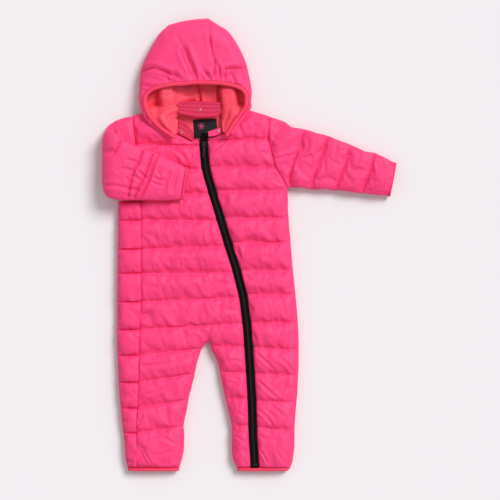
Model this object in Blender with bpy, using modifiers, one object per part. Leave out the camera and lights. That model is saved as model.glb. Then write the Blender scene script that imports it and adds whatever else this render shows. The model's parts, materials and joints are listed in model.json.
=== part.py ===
"""Baby snowsuit with a three-panel hood, laid out flat on its back.

The frame is in metres once built, with +Z up from the surface the garment lies on, +Y towards
the hood and +X towards the wearer's left. All the sizes below are in millimetres. Each piece
that is cut and sewn is one closed solid. The two padded layers of the body and sleeves lie on
each other at MID_HEIGHT. The wearer's right sleeve is folded back over the chest.
"""
import math

import bmesh
import bpy
import numpy as np

MM = 0.001
COLLECTION = "baby_snowsuit"

# Cloth layers
LAYER_GAP = 0.25       # from MID_HEIGHT to the inner face of either layer
SEAM_GAP = 0.25        # from a seam line to the piece on either side of it
MID_HEIGHT = 12.0      # where the front layer lies on the back layer
EDGE_WALL = 2.0        # a layer's thickness where it is sewn at the garment's edge
INNER_ARCH = 0.6       # how far the front layer's inner face lifts at the crown of a channel
PUFF = 13.5            # the front layer's thickness in the middle of a channel
LINE_SHARE = 0.42      # part of the puff that is left on a stitched line
TOP_ROUNDING = 28.0    # how far in from the edge the front layer reaches its full height
BASE_ROUNDING = 12.0   # the same for the back layer, which is flat beyond it
HALF_CHANNEL = 19.0    # from a stitched line to the crown of a channel
EDGE_PADDING = 7.0     # wadding between the garment's edge and its hollow

# Hood
HOOD_LINING = 2.0
HOOD_LINING_GAP = 0.4
CROWN_REACH = 36.0     # how far in from the crown's edge the hood reaches its full height
HOOD_BASE_ROUNDING = 14.0
LEVEL_SHARE = 0.5      # part of the underside beside the neck that stays level
ROLL_START = 0.30      # where the lining's roll starts, as a part of the underside's width
ROLL_END = 0.82        # and where it ends
RIM_BINDING_RADIUS = 2.8
RIM_SETBACK = 4.0      # from the binding's centreline to the hood's cloth

# Trim
BINDING_LENGTH = 6.0
ZIP_HALF_WIDTH = 7.3
TAPE_THICKNESS = 1.5
TAPE_TUCK = 1.6        # from a tape to the front panel beside it
TAPE_HEIGHT = MID_HEIGHT + 4.6
THIN_CLOTH = 2.0
LABEL_SIZE = (40.0, 26.0, 1.0)
SNAP_RADIUS = 3.2
SNAP_HEIGHT = 1.6
PULL_LENGTH = 23.0
HINGE_HEIGHT = 5.0     # from the slider's base to the line its pull tab turns on


def table(columns, *rows):
    """Return a short table as one array for each named column."""
    names = columns.split()
    return {name: np.array([row[k] for row in rows], float) for k, name in enumerate(names)}


def path(rows, x="x", y="y"):
    """Return two columns of a table as plan points."""
    return np.column_stack([rows[x], rows[y]])


# Outline of the body and both sleeves, down one side and up the other.
RIGHT_SIDE = table(
    "x y",
    (-224, 74), (-225, -9), (-226, -94), (-226, -169), (-224, -222), (-222, -256), (-218, -298),
    (-214, -332), (-211, -366), (-208, -379))
LEFT_SIDE = table(
    "x y",
    (64, 96), (64, 59), (66, 33), (70, -9), (73, -47), (76.5, -86), (79, -120), (81, -162),
    (81, -205), (79, -247), (76, -280), (74, -307), (74, -341), (71, -366), (66, -379))
RIGHT_INSEAM = table(
    "x y",
    (-70, -162), (-76, -169), (-83, -179), (-90, -200), (-97, -230), (-104, -256), (-109, -285),
    (-113, -309), (-112, -330), (-115, -363), (-120, -379))
LEFT_INSEAM = table(
    "x y",
    (-70, -162), (-65, -179), (-54, -200), (-48, -234), (-42, -261), (-36, -285), (-31, -307),
    (-31, -349), (-29, -366), (-22, -379))
SIDE_SEAM = table(
    "x y",
    (-184, 74), (-184, -91), (-187, -142), (-189, -256), (-192, -307), (-192, -379))
CENTRE_LINE = table("x y", (-125, 230), (-70, -162))
ZIP_LINE = table(
    "x y",
    (-79, 190), (-79, 176), (-78, 161), (-76, 135), (-71, 113), (-60, 76), (-38, 4), (-23, -43),
    (-11, -91), (-5, -139), (-2, -179), (3, -259), (5, -327), (8, -373), (8, -379))
RIGHT_ARMHOLE = table("x y", (-199, 214), (-184, 74))
LEFT_ARMHOLE = table("x y", (32, 218), (31, 179), (64, 96))
RIGHT_SHOULDER = table(
    "x y",
    (-180, 224), (-199, 217), (-233, 209), (-245, 198), (-251, 184), (-253, 150), (-253, 106),
    (-249, 83), (-238, 74), (-224, 74))
LEFT_SHOULDER = table(
    "x y",
    (-3, 229), (32, 219), (54, 212), (69, 204), (93.5, 197), (132, 186), (173, 171), (195, 160),
    (230, 149), (247, 133), (237, 86), (220, 81), (169, 88), (132, 92), (95, 93.5), (64, 96))

# Upper edges of the front panels, from the sleeve to the zip.
RIGHT_NECKLINE = table(
    "x y",
    (-199, 214), (-180, 224), (-170, 227), (-156, 215), (-141, 200), (-124, 186), (-99, 173),
    (-86.5, 174))
LEFT_NECKLINE = table(
    "x y",
    (32, 218), (-3, 228.5), (-12, 226), (-22, 217), (-34, 203), (-44, 190), (-57, 183), (-71.5, 181))
BACK_NECKLINE = table("x y", (-199, 214), (-180, 224), (-165, 229), (-15, 229), (-3, 229), (32, 218))

# Stitched lines across each panel: the height of each end.
RIGHT_CHEST_LINES = table(
    "outer_y inner_y",
    (170, 168), (129, 129), (87, 87), (42, 42), (-7, -2), (-48, -47), (-96, -89), (-143, -133),
    (-166, -162))
RIGHT_LEG_LINES = table(
    "outer_y inner_y", (-166, -162), (-186, -176), (-232, -219), (-276, -263), (-318, -308), (-379, -379))
INNER_STRIP_LINES = table(
    "outer_y inner_y", (-162, -162), (-172, -172), (-216, -216), (-261, -261), (-307, -307), (-379, -379))
LEFT_FRONT_LINES = table(
    "outer_y inner_y",
    (179, 177), (132, 132), (96, 92), (46, 46), (4, 4), (-43, -43), (-84, -84), (-132, -132),
    (-179, -173), (-222, -218), (-267, -264), (-315, -309), (-379, -379))
BACK_LINES = table(
    "y", (179,), (125,), (96,), (74,), (38,), (-11,), (-52,), (-100,), (-147,), (-162,), (-190,), (-236,),
    (-280,), (-322,), (-379,))

# Straight sleeve: the two ends of each stitched line, from the armhole to the cuff.
SLEEVE_LINES = table(
    "top_x top_y low_x low_y stitched",
    (59, 209, 66, 95.7, 0), (93, 197, 72, 95, 1), (112, 191.5, 89, 93.8, 0), (133, 185.5, 103, 93, 1),
    (154, 178, 125, 92.4, 0), (173, 171, 145, 90.8, 1), (195, 160, 168, 88, 0), (214, 154.5, 189, 85, 1),
    (228, 149.6, 210, 82.3, 0), (243, 139, 231, 84.6, 0))

# Folded sleeve: flat sections, from the armhole to the fold and back to the cuff. The turn is
# in degrees round the fold, and the stretch beyond it lies on the chest.
FOLD_LINES = table(
    "top_x top_y low_x low_y turn half_height",
    (-199.6, 213, -186.2, 86, 0, 11.9), (-213, 212, -203, 78, 0, 11.9), (-229, 208, -229, 76, 0, 11.9),
    (-229, 205, -229, 77, 45, 11.0), (-229, 200, -229, 79, 90, 10.6), (-229, 203, -229, 77, 135, 11.0),
    (-229, 200, -229, 75, 180, 12.0), (-211, 175, -214, 74, 180, 12.0), (-194, 168, -196, 74, 180, 8.5),
    (-177, 162, -180, 74, 180, 12.0), (-160, 154.5, -163, 73.5, 180, 11.5),
    (-148, 149.5, -151, 73.5, 180, 8.0), (-136, 144, -139, 73.5, 180, 11.0),
    (-121, 137, -127, 74.5, 180, 10.0), (-108.5, 129.5, -117.5, 76, 180, 7.0))
FOLD_AXIS = (-229.0, 25.4)    # x and z of the line that the sleeve is folded round
FOLD_RADIUS = 13.2

# Hood sections, from the top seam to the neck. The rim is the binding's centreline, the edge is
# the outermost line, and the base is where the side panel ends underneath. Wall is the padding
# and roll is how far the lining bulges up beside the face.
HOOD_COLUMNS = "rim_x rim_y rim_z edge_x edge_y edge_z base_x base_y under_z base_z wall roll"
HOOD_RIGHT = table(
    HOOD_COLUMNS,
    (-92, 280, 39, -138, 373, 14, -138, 373, 14, 14, 7, 0),
    (-110, 275, 39, -153, 359, 14, -126, 348, 0, 0, 7, 0),
    (-129, 272, 38, -167, 337, 14, -112, 322, 0, 0, 7, 0),
    (-148, 269, 37, -178.5, 315, 14, -100, 300, 0, 0, 7, 2),
    (-165, 263, 36, -186.5, 290, 14, -92, 283, 0, 0, 7, 5),
    (-174, 254, 35, -188, 266, 14, -87, 266, 0, 0, 7, 8),
    (-178, 245, 35, -190, 251, 14, -84, 249, 0, 0, 6, 9),
    (-178, 238, 35, -188, 239, 17, -84, 239, 0, 0, 5, 9),
    (-176, 231, 36, -185, 231.5, 28, -84, 231, 20, 15, 2, 5),
    (-172, 220, 36, -179, 215, 30, -122, 218, 26, 17, 2, 6),
    (-163, 208, 36, -169.5, 202.5, 30, -122, 208, 26, 19, 2, 6),
    (-149, 195, 36, -155, 189, 30, -122.5, 197, 26, 25, 2, 4),
    (-133, 184, 36, -137.5, 177.5, 30, -123, 188, 26, 26, 1.5, 1))
HOOD_LEFT = table(
    HOOD_COLUMNS,
    (-53, 278, 39, -71, 384, 14, -71, 384, 14, 14, 7, 0),
    (-44, 276, 39, -54, 373, 14, -66, 356, 0, 0, 7, 0),
    (-37, 274.5, 38, -37, 362, 14, -63, 334, 0, 0, 7, 0),
    (-29, 272, 37, -21, 339, 14, -59, 310, 0, 0, 7, 1),
    (-20, 268.5, 36, -8, 312, 14, -55, 288, 0, 0, 7, 3),
    (-12, 262.5, 35, -1, 285, 14, -53, 266, 0, 0, 7, 6),
    (-6.5, 252.5, 35, 3, 261, 14, -53, 249, 0, 0, 6, 8),
    (-6, 242, 35, 2, 243, 17, -53, 239, 0, 0, 5, 8),
    (-7, 233, 36, 2, 231.5, 28, -53, 231, 20, 15, 2, 5),
    (-13, 224, 36, -5.5, 219, 30, -49, 221, 26, 17, 2, 5),
    (-20, 214, 36, -12.5, 209, 30, -48, 212, 26, 19, 2, 5),
    (-28, 203, 36, -20.5, 198.5, 30, -46.5, 203, 26, 25, 2, 3),
    (-36, 189, 36, -28.5, 185, 30, -44, 190, 26, 26, 1.5, 1))
CROWN_EDGE = table("x y", (-138, 373), (-122, 377.5), (-107, 380.6), (-89, 383), (-71, 384))
RIGHT_TIP = (-124.5, 179.5, 34.8)
LEFT_TIP = (-41.5, 182.0, 34.8)

# Thin pieces at the neck, as plan outlines.
NECK_LINING = table(
    "x y",
    (-160, 223), (-144, 207.5), (-126, 192.5), (-103, 179), (-88, 178.5), (-88, 182), (-71, 184),
    (-60, 189), (-46, 197), (-35, 209), (-25, 220), (-21, 227), (-160, 227))
COLLAR_BACK = table(
    "x y", (-121, 222), (-104, 218.5), (-87, 214.5), (-58, 217), (-49.5, 222), (-50, 240), (-84, 242),
    (-121, 241))
COLLAR_RIGHT = table(
    "x y", (-121.5, 187), (-98.6, 175.6), (-95.5, 177), (-97, 191), (-109, 208), (-121.5, 213))
COLLAR_LEFT = table("x y", (-70, 182.2), (-57, 184.2), (-49.5, 188.5), (-49.5, 197), (-56, 196), (-71, 191))
LABEL_CENTRE = (-76.0, 200.5)
SNAPS = table("x y z", (-116, 190, 17.5), (-84, 228, 29.0), (-53.5, 191.5, 27.8))

COLOURS = {
    "shell": (0.93, 0.07, 0.22, 0.50, 0.0),
    "lining": (0.86, 0.08, 0.12, 0.60, 0.0),
    "binding": (0.90, 0.06, 0.14, 0.55, 0.0),
    "zip_tape": (0.012, 0.010, 0.011, 0.70, 0.0),
    "zip_hardware": (0.03, 0.03, 0.035, 0.35, 0.9),
    "label": (0.015, 0.013, 0.016, 0.60, 0.0),
    "snap": (0.45, 0.43, 0.44, 0.30, 1.0),
}


def ease(distance, reach):
    """Return a quarter-ellipse rise, 0 on an edge and 1 once reach away from it."""
    share = np.clip(np.asarray(distance, float) / reach, 0.0, 1.0)
    return np.sqrt(1.0 - (1.0 - share) ** 2)


def distance_to(points, line):
    """Return the shortest plan distance from each point to an open line."""
    start = line[:-1]
    run = line[1:] - start
    offset = points[..., None, :] - start
    share = np.clip((offset * run).sum(-1) / np.maximum((run * run).sum(-1), 1e-9), 0.0, 1.0)
    gap = offset - share[..., None] * run
    return np.sqrt((gap * gap).sum(-1)).min(-1)


def rail(rows, y):
    """Return a rail's x at the height y. Rails run from the neck down to the hem."""
    return float(np.interp(-y, -rows["y"], rows["x"]))


def resample(line, count):
    """Return count points spread evenly along a line."""
    steps = np.sqrt((np.diff(line, axis=0) ** 2).sum(-1))
    length = np.concatenate([[0.0], np.cumsum(steps)])
    at = np.linspace(0.0, length[-1], count)
    return np.column_stack([np.interp(at, length, line[:, 0]), np.interp(at, length, line[:, 1])])


OUTLINE_RUNS = [
    path(RIGHT_SHOULDER), path(RIGHT_SIDE), path(RIGHT_INSEAM), path(LEFT_INSEAM), path(LEFT_SIDE),
    path(LEFT_SHOULDER),
]


def top_height(plan, stitched):
    """Return the front layer's height, lower at the outline and on a stitched line.

    plan holds the points and stitched is 1 on a stitched line, 0 at the crown of a channel.
    """
    edge = np.min([distance_to(plan, run) for run in OUTLINE_RUNS], axis=0)
    share = LINE_SHARE + (1.0 - LINE_SHARE) * ease((1.0 - stitched) * HALF_CHANNEL, HALF_CHANNEL)
    return MID_HEIGHT + EDGE_WALL + (PUFF - EDGE_WALL) * ease(edge, TOP_ROUNDING) * share


def base_height(plan):
    """Return the back layer's height: flat on the surface, and rounded up to the outline."""
    edge = np.min([distance_to(plan, run) for run in OUTLINE_RUNS], axis=0)
    return (MID_HEIGHT - EDGE_WALL) * (1.0 - ease(edge, BASE_ROUNDING))


def with_height(plan, height):
    """Return plan points with a height added."""
    return np.concatenate([plan, np.broadcast_to(height, plan.shape[:-1])[..., None]], axis=-1)


class PaddedPiece:
    """A piece of padded cloth: matching grids of outer and inner points, closed at the edges."""

    def __init__(self, name, material):
        self.name = name
        self.material = material
        self.index = {}
        self.outer = []
        self.inner = []
        self.faces = []

    def corner(self, outer, inner):
        """Return the number of one pair of points, shared by grids that meet there."""
        key = tuple(int(round(value * 50.0)) for value in outer)
        if key not in self.index:
            self.index[key] = len(self.outer)
            self.outer.append(outer)
            self.inner.append(inner)
        return self.index[key]

    def add_grid(self, outer, inner, closed=False):
        """Add one grid of faces. A closed grid joins its last column to its first."""
        rows, columns = outer.shape[:2]
        number = [[self.corner(outer[i, j], inner[i, j]) for j in range(columns)] for i in range(rows)]
        for i in range(rows - 1):
            for j in range(columns if closed else columns - 1):
                k = (j + 1) % columns
                near, far = (number[i][j], number[i + 1][j]), (number[i][k], number[i + 1][k])
                for face in ((near[0], near[1], far[1]), (near[0], far[1], far[0])):
                    if len(set(face)) == 3:
                        self.faces.append(face)

    def build(self):
        """Make the closed mesh object and return it."""
        mesh = bmesh.new()
        outer = [mesh.verts.new(tuple(np.multiply(point, MM))) for point in self.outer]
        inner = [mesh.verts.new(tuple(np.multiply(point, MM))) for point in self.inner]
        sides = {}
        for face in self.faces:
            mesh.faces.new([outer[v] for v in face])
            mesh.faces.new([inner[v] for v in reversed(face)])
            for n, v in enumerate(face):
                sides[(face[n - 1], v)] = True
        for first, second in sides:
            if (second, first) not in sides:
                mesh.faces.new([outer[second], outer[first], inner[first], inner[second]])
        bmesh.ops.recalc_face_normals(mesh, faces=mesh.faces)
        return finish_mesh(mesh, self.name, self.material)


def finish_mesh(mesh, name, material, smooth=True):
    """Turn a bmesh into a named object with its material, in the garment's collection."""
    data = bpy.data.meshes.new(name)
    mesh.to_mesh(data)
    mesh.free()
    if smooth:
        data.shade_smooth()
        data.set_sharp_from_angle(angle=math.radians(50.0))
    return place_object(name, data, material)


def place_object(name, data, material):
    """Link an object into the garment's collection with its material."""
    item = bpy.data.objects.new(name, data)
    if not data.materials:
        data.materials.append(bpy.data.materials[material])
    bpy.data.collections[COLLECTION].objects.link(item)
    return item


def make_materials():
    """Make one Principled material for each kind of cloth and metal."""
    for name, (red, green, blue, roughness, metallic) in COLOURS.items():
        material = bpy.data.materials.new(name)
        material.use_nodes = True
        shader = material.node_tree.nodes["Principled BSDF"]
        shader.inputs["Base Color"].default_value = (red, green, blue, 1.0)
        shader.inputs["Roughness"].default_value = roughness
        shader.inputs["Metallic"].default_value = metallic
        material.diffuse_color = (red, green, blue, 1.0)


def channel_rows(lines, shares):
    """Return (outer_y, inner_y, stitched) for each row of a panel, with rows between its lines."""
    rows = []
    for k in range(len(lines["outer_y"]) - 1):
        for share in shares:
            outer = np.interp(share, (0, 1), lines["outer_y"][k:k + 2])
            inner = np.interp(share, (0, 1), lines["inner_y"][k:k + 2])
            rows.append((outer, inner, 1.0 if share == 0 else 0.0))
    rows.append((lines["outer_y"][-1], lines["inner_y"][-1], 1.0))
    return rows


def row_points(left, right, shares):
    """Return points on the straight line between two rail points, at the given shares."""
    left, right = np.array(left, float), np.array(right, float)
    return left + (right - left) * np.asarray(shares)[:, None]


def panel_rows(lines, left_rail, right_rail, shares, left_shift, right_shift, steps=(0.0, 0.28, 0.72)):
    """Return the plan points and stitched marks of a panel's rows between two rails."""
    plan, stitched = [], []
    for outer_y, inner_y, mark in channel_rows(lines, steps):
        left = (rail(left_rail, outer_y) + left_shift, outer_y)
        right = (rail(right_rail, inner_y) + right_shift, inner_y)
        plan.append(row_points(left, right, shares))
        stitched.append(np.full(len(shares), mark))
    return np.array(plan), np.array(stitched)


def add_front_grid(piece, plan, stitched):
    """Add a grid of the front layer, nearly flat inside and puffed outside."""
    inner = with_height(plan, MID_HEIGHT + LAYER_GAP + INNER_ARCH * (1.0 - stitched))
    piece.add_grid(with_height(plan, top_height(plan, stitched)), inner)


def neckline_rows(neckline, below, count=2):
    """Return rows from a neckline down to the first stitched row."""
    top = resample(neckline, len(below))
    shares = np.linspace(0.0, 1.0, count + 2)
    plan = np.array([top + (below - top) * share for share in shares])
    stitched = np.zeros(plan.shape[:2])
    stitched[0] = 1.0
    stitched[-1] = 1.0
    return plan, stitched


LEG_SHARES = np.array([0.0, 0.12, 0.38, 0.66, 0.9, 1.0])
STRIP_SHARES = np.array([0.0, 0.22, 0.6, 1.0])


def crotch_row(outer, inner, shares_left, shares_right):
    """Return the row that both legs hang from, through the crotch point."""
    crotch = (float(RIGHT_INSEAM["x"][0]), float(RIGHT_INSEAM["y"][0]))
    left = row_points(outer, crotch, shares_left)
    right = row_points(crotch, inner, shares_right)
    return np.concatenate([left, right[1:]])


def front_right():
    """Make the wearer's right front: chest, right leg and the strip inside the left leg."""
    piece = PaddedPiece("front_right", "shell")
    zip_shift = -ZIP_HALF_WIDTH
    seam_shift = SEAM_GAP
    chest_rail = table("x y", *zip(
        np.concatenate([RIGHT_ARMHOLE["x"], SIDE_SEAM["x"][1:]]),
        np.concatenate([RIGHT_ARMHOLE["y"], SIDE_SEAM["y"][1:]])))
    plan, stitched = [], []
    for outer_y, inner_y, mark in channel_rows(RIGHT_CHEST_LINES, (0.0, 0.28, 0.72))[:-1]:
        left = np.array((rail(chest_rail, outer_y) + seam_shift, outer_y))
        right = np.array((rail(ZIP_LINE, inner_y) + zip_shift, inner_y))
        share = (rail(CENTRE_LINE, inner_y) - left[0]) / (right[0] - left[0])
        middle = left + (right - left) * share
        plan.append(crotchless_row(left, middle, right))
        stitched.append(np.full(len(plan[-1]), mark))
    last = crotch_row(
        (rail(chest_rail, -166) + seam_shift, -166), (rail(ZIP_LINE, -162) + zip_shift, -162),
        LEG_SHARES, STRIP_SHARES)
    plan.append(last)
    stitched.append(np.zeros(len(last)))
    plan, stitched = np.array(plan), np.array(stitched)
    neck_plan, neck_stitched = neckline_rows(path(RIGHT_NECKLINE), plan[0])
    add_front_grid(piece, neck_plan, neck_stitched)
    add_front_grid(piece, plan, stitched)
    leg_plan, leg_stitched = panel_rows(
        RIGHT_LEG_LINES, chest_rail, RIGHT_INSEAM, LEG_SHARES, seam_shift, 0.0)
    leg_stitched[0] = 0.0
    leg_plan[0] = last[:len(LEG_SHARES)]
    add_front_grid(piece, leg_plan, leg_stitched)
    strip_plan, strip_stitched = panel_rows(
        INNER_STRIP_LINES, LEFT_INSEAM, ZIP_LINE, STRIP_SHARES, 0.0, zip_shift)
    strip_stitched[0] = 0.0
    strip_plan[0] = last[len(LEG_SHARES) - 1:]
    add_front_grid(piece, strip_plan, strip_stitched)
    return piece.build()


def crotchless_row(left, middle, right):
    """Return a chest row with the same columns as the two legs below it."""
    strip = row_points(middle, right, STRIP_SHARES)[1:]
    return np.concatenate([row_points(left, middle, LEG_SHARES), strip])


def front_left():
    """Make the wearer's left front, from the neck down the outside of the leg."""
    piece = PaddedPiece("front_left", "shell")
    outer_rail = table("x y", *zip(
        np.concatenate([LEFT_ARMHOLE["x"], LEFT_SIDE["x"][1:]]),
        np.concatenate([LEFT_ARMHOLE["y"], LEFT_SIDE["y"][1:]])))
    shares = np.array([0.0, 0.1, 0.35, 0.7, 1.0])
    plan, stitched = panel_rows(
        LEFT_FRONT_LINES, outer_rail, ZIP_LINE, shares, -SEAM_GAP, ZIP_HALF_WIDTH)
    neck_plan, neck_stitched = neckline_rows(path(LEFT_NECKLINE), plan[0])
    add_front_grid(piece, neck_plan, neck_stitched)
    add_front_grid(piece, plan, stitched)
    return piece.build()


def back():
    """Make the back, whose right side wraps round onto the front as far as the side seam."""
    piece = PaddedPiece("back", "shell")
    left_rail = table("x y", *zip(
        np.concatenate([RIGHT_ARMHOLE["x"], SIDE_SEAM["x"][1:]]),
        np.concatenate([RIGHT_ARMHOLE["y"], SIDE_SEAM["y"][1:]])))
    right_rail = table("x y", *zip(
        np.concatenate([LEFT_ARMHOLE["x"], LEFT_SIDE["x"][1:]]),
        np.concatenate([LEFT_ARMHOLE["y"], LEFT_SIDE["y"][1:]])))
    heights = []
    for k in range(len(BACK_LINES["y"]) - 1):
        heights += [BACK_LINES["y"][k], 0.5 * (BACK_LINES["y"][k] + BACK_LINES["y"][k + 1])]
    heights.append(BACK_LINES["y"][-1])
    crotch_y = float(RIGHT_INSEAM["y"][0])
    left_shares = np.array([0.0, 0.5, 0.9, 1.0])
    right_shares = np.array([0.0, 0.08, 0.5, 0.93, 1.0])
    body, right_leg, left_leg = [], [], []
    for y in heights:
        left = (rail(left_rail, y) + SEAM_GAP * (y > 74), y)
        right = (rail(right_rail, y) - SEAM_GAP, y)
        if y >= crotch_y:
            middle = (rail(CENTRE_LINE, y), y)
            body.append(np.concatenate([
                row_points(left, middle, left_shares), row_points(middle, right, right_shares)[1:]]))
        if y <= crotch_y:
            right_leg.append(row_points(left, (rail(RIGHT_INSEAM, y), y), left_shares))
            left_leg.append(row_points((rail(LEFT_INSEAM, y), y), right, right_shares))
    top = resample(path(BACK_NECKLINE), len(body[0]))
    for rows in ([top, 0.5 * (top + body[0])] + body, right_leg, left_leg):
        plan = np.array(rows)
        piece.add_grid(with_height(plan, base_height(plan)), with_height(plan, MID_HEIGHT - LAYER_GAP))
    add_side_wrap(piece, [y for y in heights if y <= 74])
    return piece.build()


def add_side_wrap(piece, heights):
    """Add the stretch of the back that goes round the right side and onto the front."""
    outer, inner = [], []
    for k, y in enumerate(heights):
        seam, edge = rail(SIDE_SEAM, y), rail(RIGHT_SIDE, y)
        base_x = np.array([seam, edge + 14.0, edge + 4.0, edge])
        top_x = np.array([edge, edge + 6.0, edge + 18.0, seam - SEAM_GAP])
        base_plan = np.column_stack([base_x, np.full(4, y)])
        top_plan = np.column_stack([top_x, np.full(4, y)])
        stitched = np.full(4, 1.0 if k % 2 == 0 else 0.0)
        outer.append(np.concatenate([
            with_height(base_plan, base_height(base_plan)),
            with_height(top_plan, top_height(top_plan, stitched))]))
        inner_x = np.array([seam, edge + 14.0, edge + 9.0, edge + EDGE_PADDING])
        base_in = np.column_stack([inner_x, np.full(4, y)])
        top_in = np.column_stack([np.append(inner_x[3:0:-1], seam - SEAM_GAP), np.full(4, y)])
        top_in[2, 0] = edge + 18.0
        inner.append(np.concatenate([
            with_height(base_in, MID_HEIGHT - LAYER_GAP), with_height(top_in, MID_HEIGHT + LAYER_GAP)]))
    piece.add_grid(np.array(outer)[:, ::-1], np.array(inner)[:, ::-1])


SLEEVE_SHARES = np.array([0.0, 0.05, 0.22, 0.5, 0.78, 0.95, 1.0])


def flat_ring(top, low, heights_above, heights_below):
    """Return outer and inner rings of a flat tube section between two edge points."""
    plan = row_points(top, low, SLEEVE_SHARES)
    width = float(np.linalg.norm(np.subtract(low, top)))
    inset = EDGE_PADDING / width
    inner_plan = row_points(top, low, np.clip(SLEEVE_SHARES, inset, 1.0 - inset))
    outer = np.concatenate([with_height(plan, heights_above), with_height(plan, heights_below)[::-1]])
    inner = np.concatenate([
        with_height(inner_plan, MID_HEIGHT + LAYER_GAP),
        with_height(inner_plan, MID_HEIGHT - LAYER_GAP)[::-1]])
    return outer, inner


def sleeve_left():
    """Make the straight sleeve and the binding round its cuff."""
    rows = SLEEVE_LINES
    knot = float(SLEEVE_SHARES[2])
    armhole = np.column_stack([
        np.interp(SLEEVE_SHARES, (0.0, knot, 1.0), LEFT_ARMHOLE[axis]) for axis in "xy"])
    armhole[:, 0] += SEAM_GAP
    first = row_points(
        (rows["top_x"][0], rows["top_y"][0]), (rows["low_x"][0], rows["low_y"][0]), SLEEVE_SHARES)
    outer, inner = [], []
    for step in (0.0, 0.5):
        plan = armhole + (first - armhole) * step
        mark = np.full(len(plan), 1.0 if step == 0 else 0.3)
        outer.append(np.concatenate([
            with_height(plan, top_height(plan, mark)), with_height(plan, base_height(plan))[::-1]]))
        core = np.clip(SLEEVE_SHARES, 0.08, 0.92)
        inner_plan = np.column_stack([np.interp(core, SLEEVE_SHARES, plan[:, k]) for k in (0, 1)])
        inner.append(np.concatenate([
            with_height(inner_plan, MID_HEIGHT + LAYER_GAP),
            with_height(inner_plan, MID_HEIGHT - LAYER_GAP)[::-1]]))
    for k in range(len(rows["top_x"])):
        top = np.array((rows["top_x"][k], rows["top_y"][k]))
        low = np.array((rows["low_x"][k], rows["low_y"][k]))
        plan = row_points(top, low, SLEEVE_SHARES)
        mark = np.full(len(plan), rows["stitched"][k])
        ring = flat_ring(top, low, top_height(plan, mark), base_height(plan))
        outer.append(ring[0])
        inner.append(ring[1])
    piece = PaddedPiece("sleeve_left", "shell")
    piece.add_grid(np.array(outer), np.array(inner), closed=True)
    piece.build()
    cuff_band("cuff_binding_left", outer[-1], inner[-1], np.array((0.93, -0.34, 0.0)))


def cuff_band(name, outer, inner, along):
    """Make a binding that continues a sleeve's last ring for a short way."""
    steps = (SEAM_GAP * 2.0, BINDING_LENGTH * 0.5, BINDING_LENGTH)
    scales = (1.0, 1.01, 0.99)
    centre = outer.mean(axis=0)
    rings = [centre + (outer - centre) * scale + along * step for step, scale in zip(steps, scales)]
    holes = [inner + along * step for step in steps]
    piece = PaddedPiece(name, "binding")
    piece.add_grid(np.array(rings), np.array(holes), closed=True)
    piece.build()


def folded_ring(k):
    """Return the folded sleeve's section k, and a ring just inside it for its cuff."""
    rows = FOLD_LINES
    top = np.array((rows["top_x"][k], rows["top_y"][k]))
    low = np.array((rows["low_x"][k], rows["low_y"][k]))
    turn = math.radians(rows["turn"][k])
    away = np.array((-math.sin(turn), 0.0, -math.cos(turn)))
    middle = with_height(row_points(top, low, SLEEVE_SHARES), 0.0)
    middle[:, 0] += away[0] * FOLD_RADIUS
    middle[:, 2] = FOLD_AXIS[1] + away[2] * FOLD_RADIUS
    width = float(np.linalg.norm(low - top))
    from_edge = np.minimum(SLEEVE_SHARES, 1.0 - SLEEVE_SHARES) * width
    half = EDGE_WALL + (rows["half_height"][k] - EDGE_WALL) * ease(from_edge, 20.0)
    inset = EDGE_PADDING / width
    core = np.clip(SLEEVE_SHARES, inset, 1.0 - inset)
    hollow = np.column_stack([np.interp(core, SLEEVE_SHARES, middle[:, axis]) for axis in range(3)])
    outer = np.concatenate([middle + half[:, None] * away, (middle - half[:, None] * away)[::-1]])
    inner = np.concatenate([hollow + LAYER_GAP * away, (hollow - LAYER_GAP * away)[::-1]])
    return outer, inner


def sleeve_right():
    """Make the sleeve that is folded back over the chest, as one rounded solid, and its binding."""
    rings = [folded_ring(k) for k in range(len(FOLD_LINES["turn"]))]
    mesh = bmesh.new()
    repeated = len(SLEEVE_SHARES)
    loops = []
    for outer, _ in rings:
        loops.append([mesh.verts.new(tuple(point * MM)) for point in np.delete(outer, repeated, axis=0)])
    for near, far in zip(loops, loops[1:]):
        for k, (a, b) in enumerate(zip(near, far)):
            mesh.faces.new((near[k - 1], far[k - 1], b))
            mesh.faces.new((near[k - 1], b, a))
    mesh.faces.new(loops[0])
    mesh.faces.new(loops[-1])
    bmesh.ops.remove_doubles(mesh, verts=mesh.verts, dist=0.01 * MM)
    bmesh.ops.recalc_face_normals(mesh, faces=mesh.faces)
    finish_mesh(mesh, "sleeve_right", "shell")
    cuff_band("cuff_binding_right", rings[-1][0], rings[-1][1], np.array((0.985, -0.17, 0.0)))


def hem_bindings():
    """Make the binding round each leg's hem."""
    legs = table(
        "outer_x outer_y inner_x inner_y", (-207.7, -379.6, -120.3, -379.6), (65.5, -379.6, -22.3, -379.6))
    for name, k, depth in (("hem_binding_right", 0, 6.4), ("hem_binding_left", 1, 6.4)):
        top = np.array((legs["outer_x"][k], legs["outer_y"][k]))
        low = np.array((legs["inner_x"][k], legs["inner_y"][k]))
        plan = row_points(top, low, SLEEVE_SHARES)
        edge = np.minimum(SLEEVE_SHARES, 1.0 - SLEEVE_SHARES) * abs(low[0] - top[0])
        above = MID_HEIGHT + 1.5 + 5.0 * ease(edge, 14.0)
        below = MID_HEIGHT - 1.5 - (MID_HEIGHT - 1.5) * ease(edge, 14.0)
        rings = [flat_ring(top, low, above, below)]
        for step in (0.5, 1.0):
            moved = [ring + np.array((0.0, -depth * step, 0.0)) for ring in rings[0]]
            rings.append(moved)
        piece = PaddedPiece(name, "binding")
        piece.add_grid(np.array([r[0] for r in rings]), np.array([r[1] for r in rings]), closed=True)
        piece.build()


TOP_STEPS = np.array([0.0, 0.12, 0.3, 0.55, 0.8, 0.94, 1.0])
UNDER_STEPS = np.array([0.06, 0.2, 0.5, 0.75, 1.0])


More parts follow.
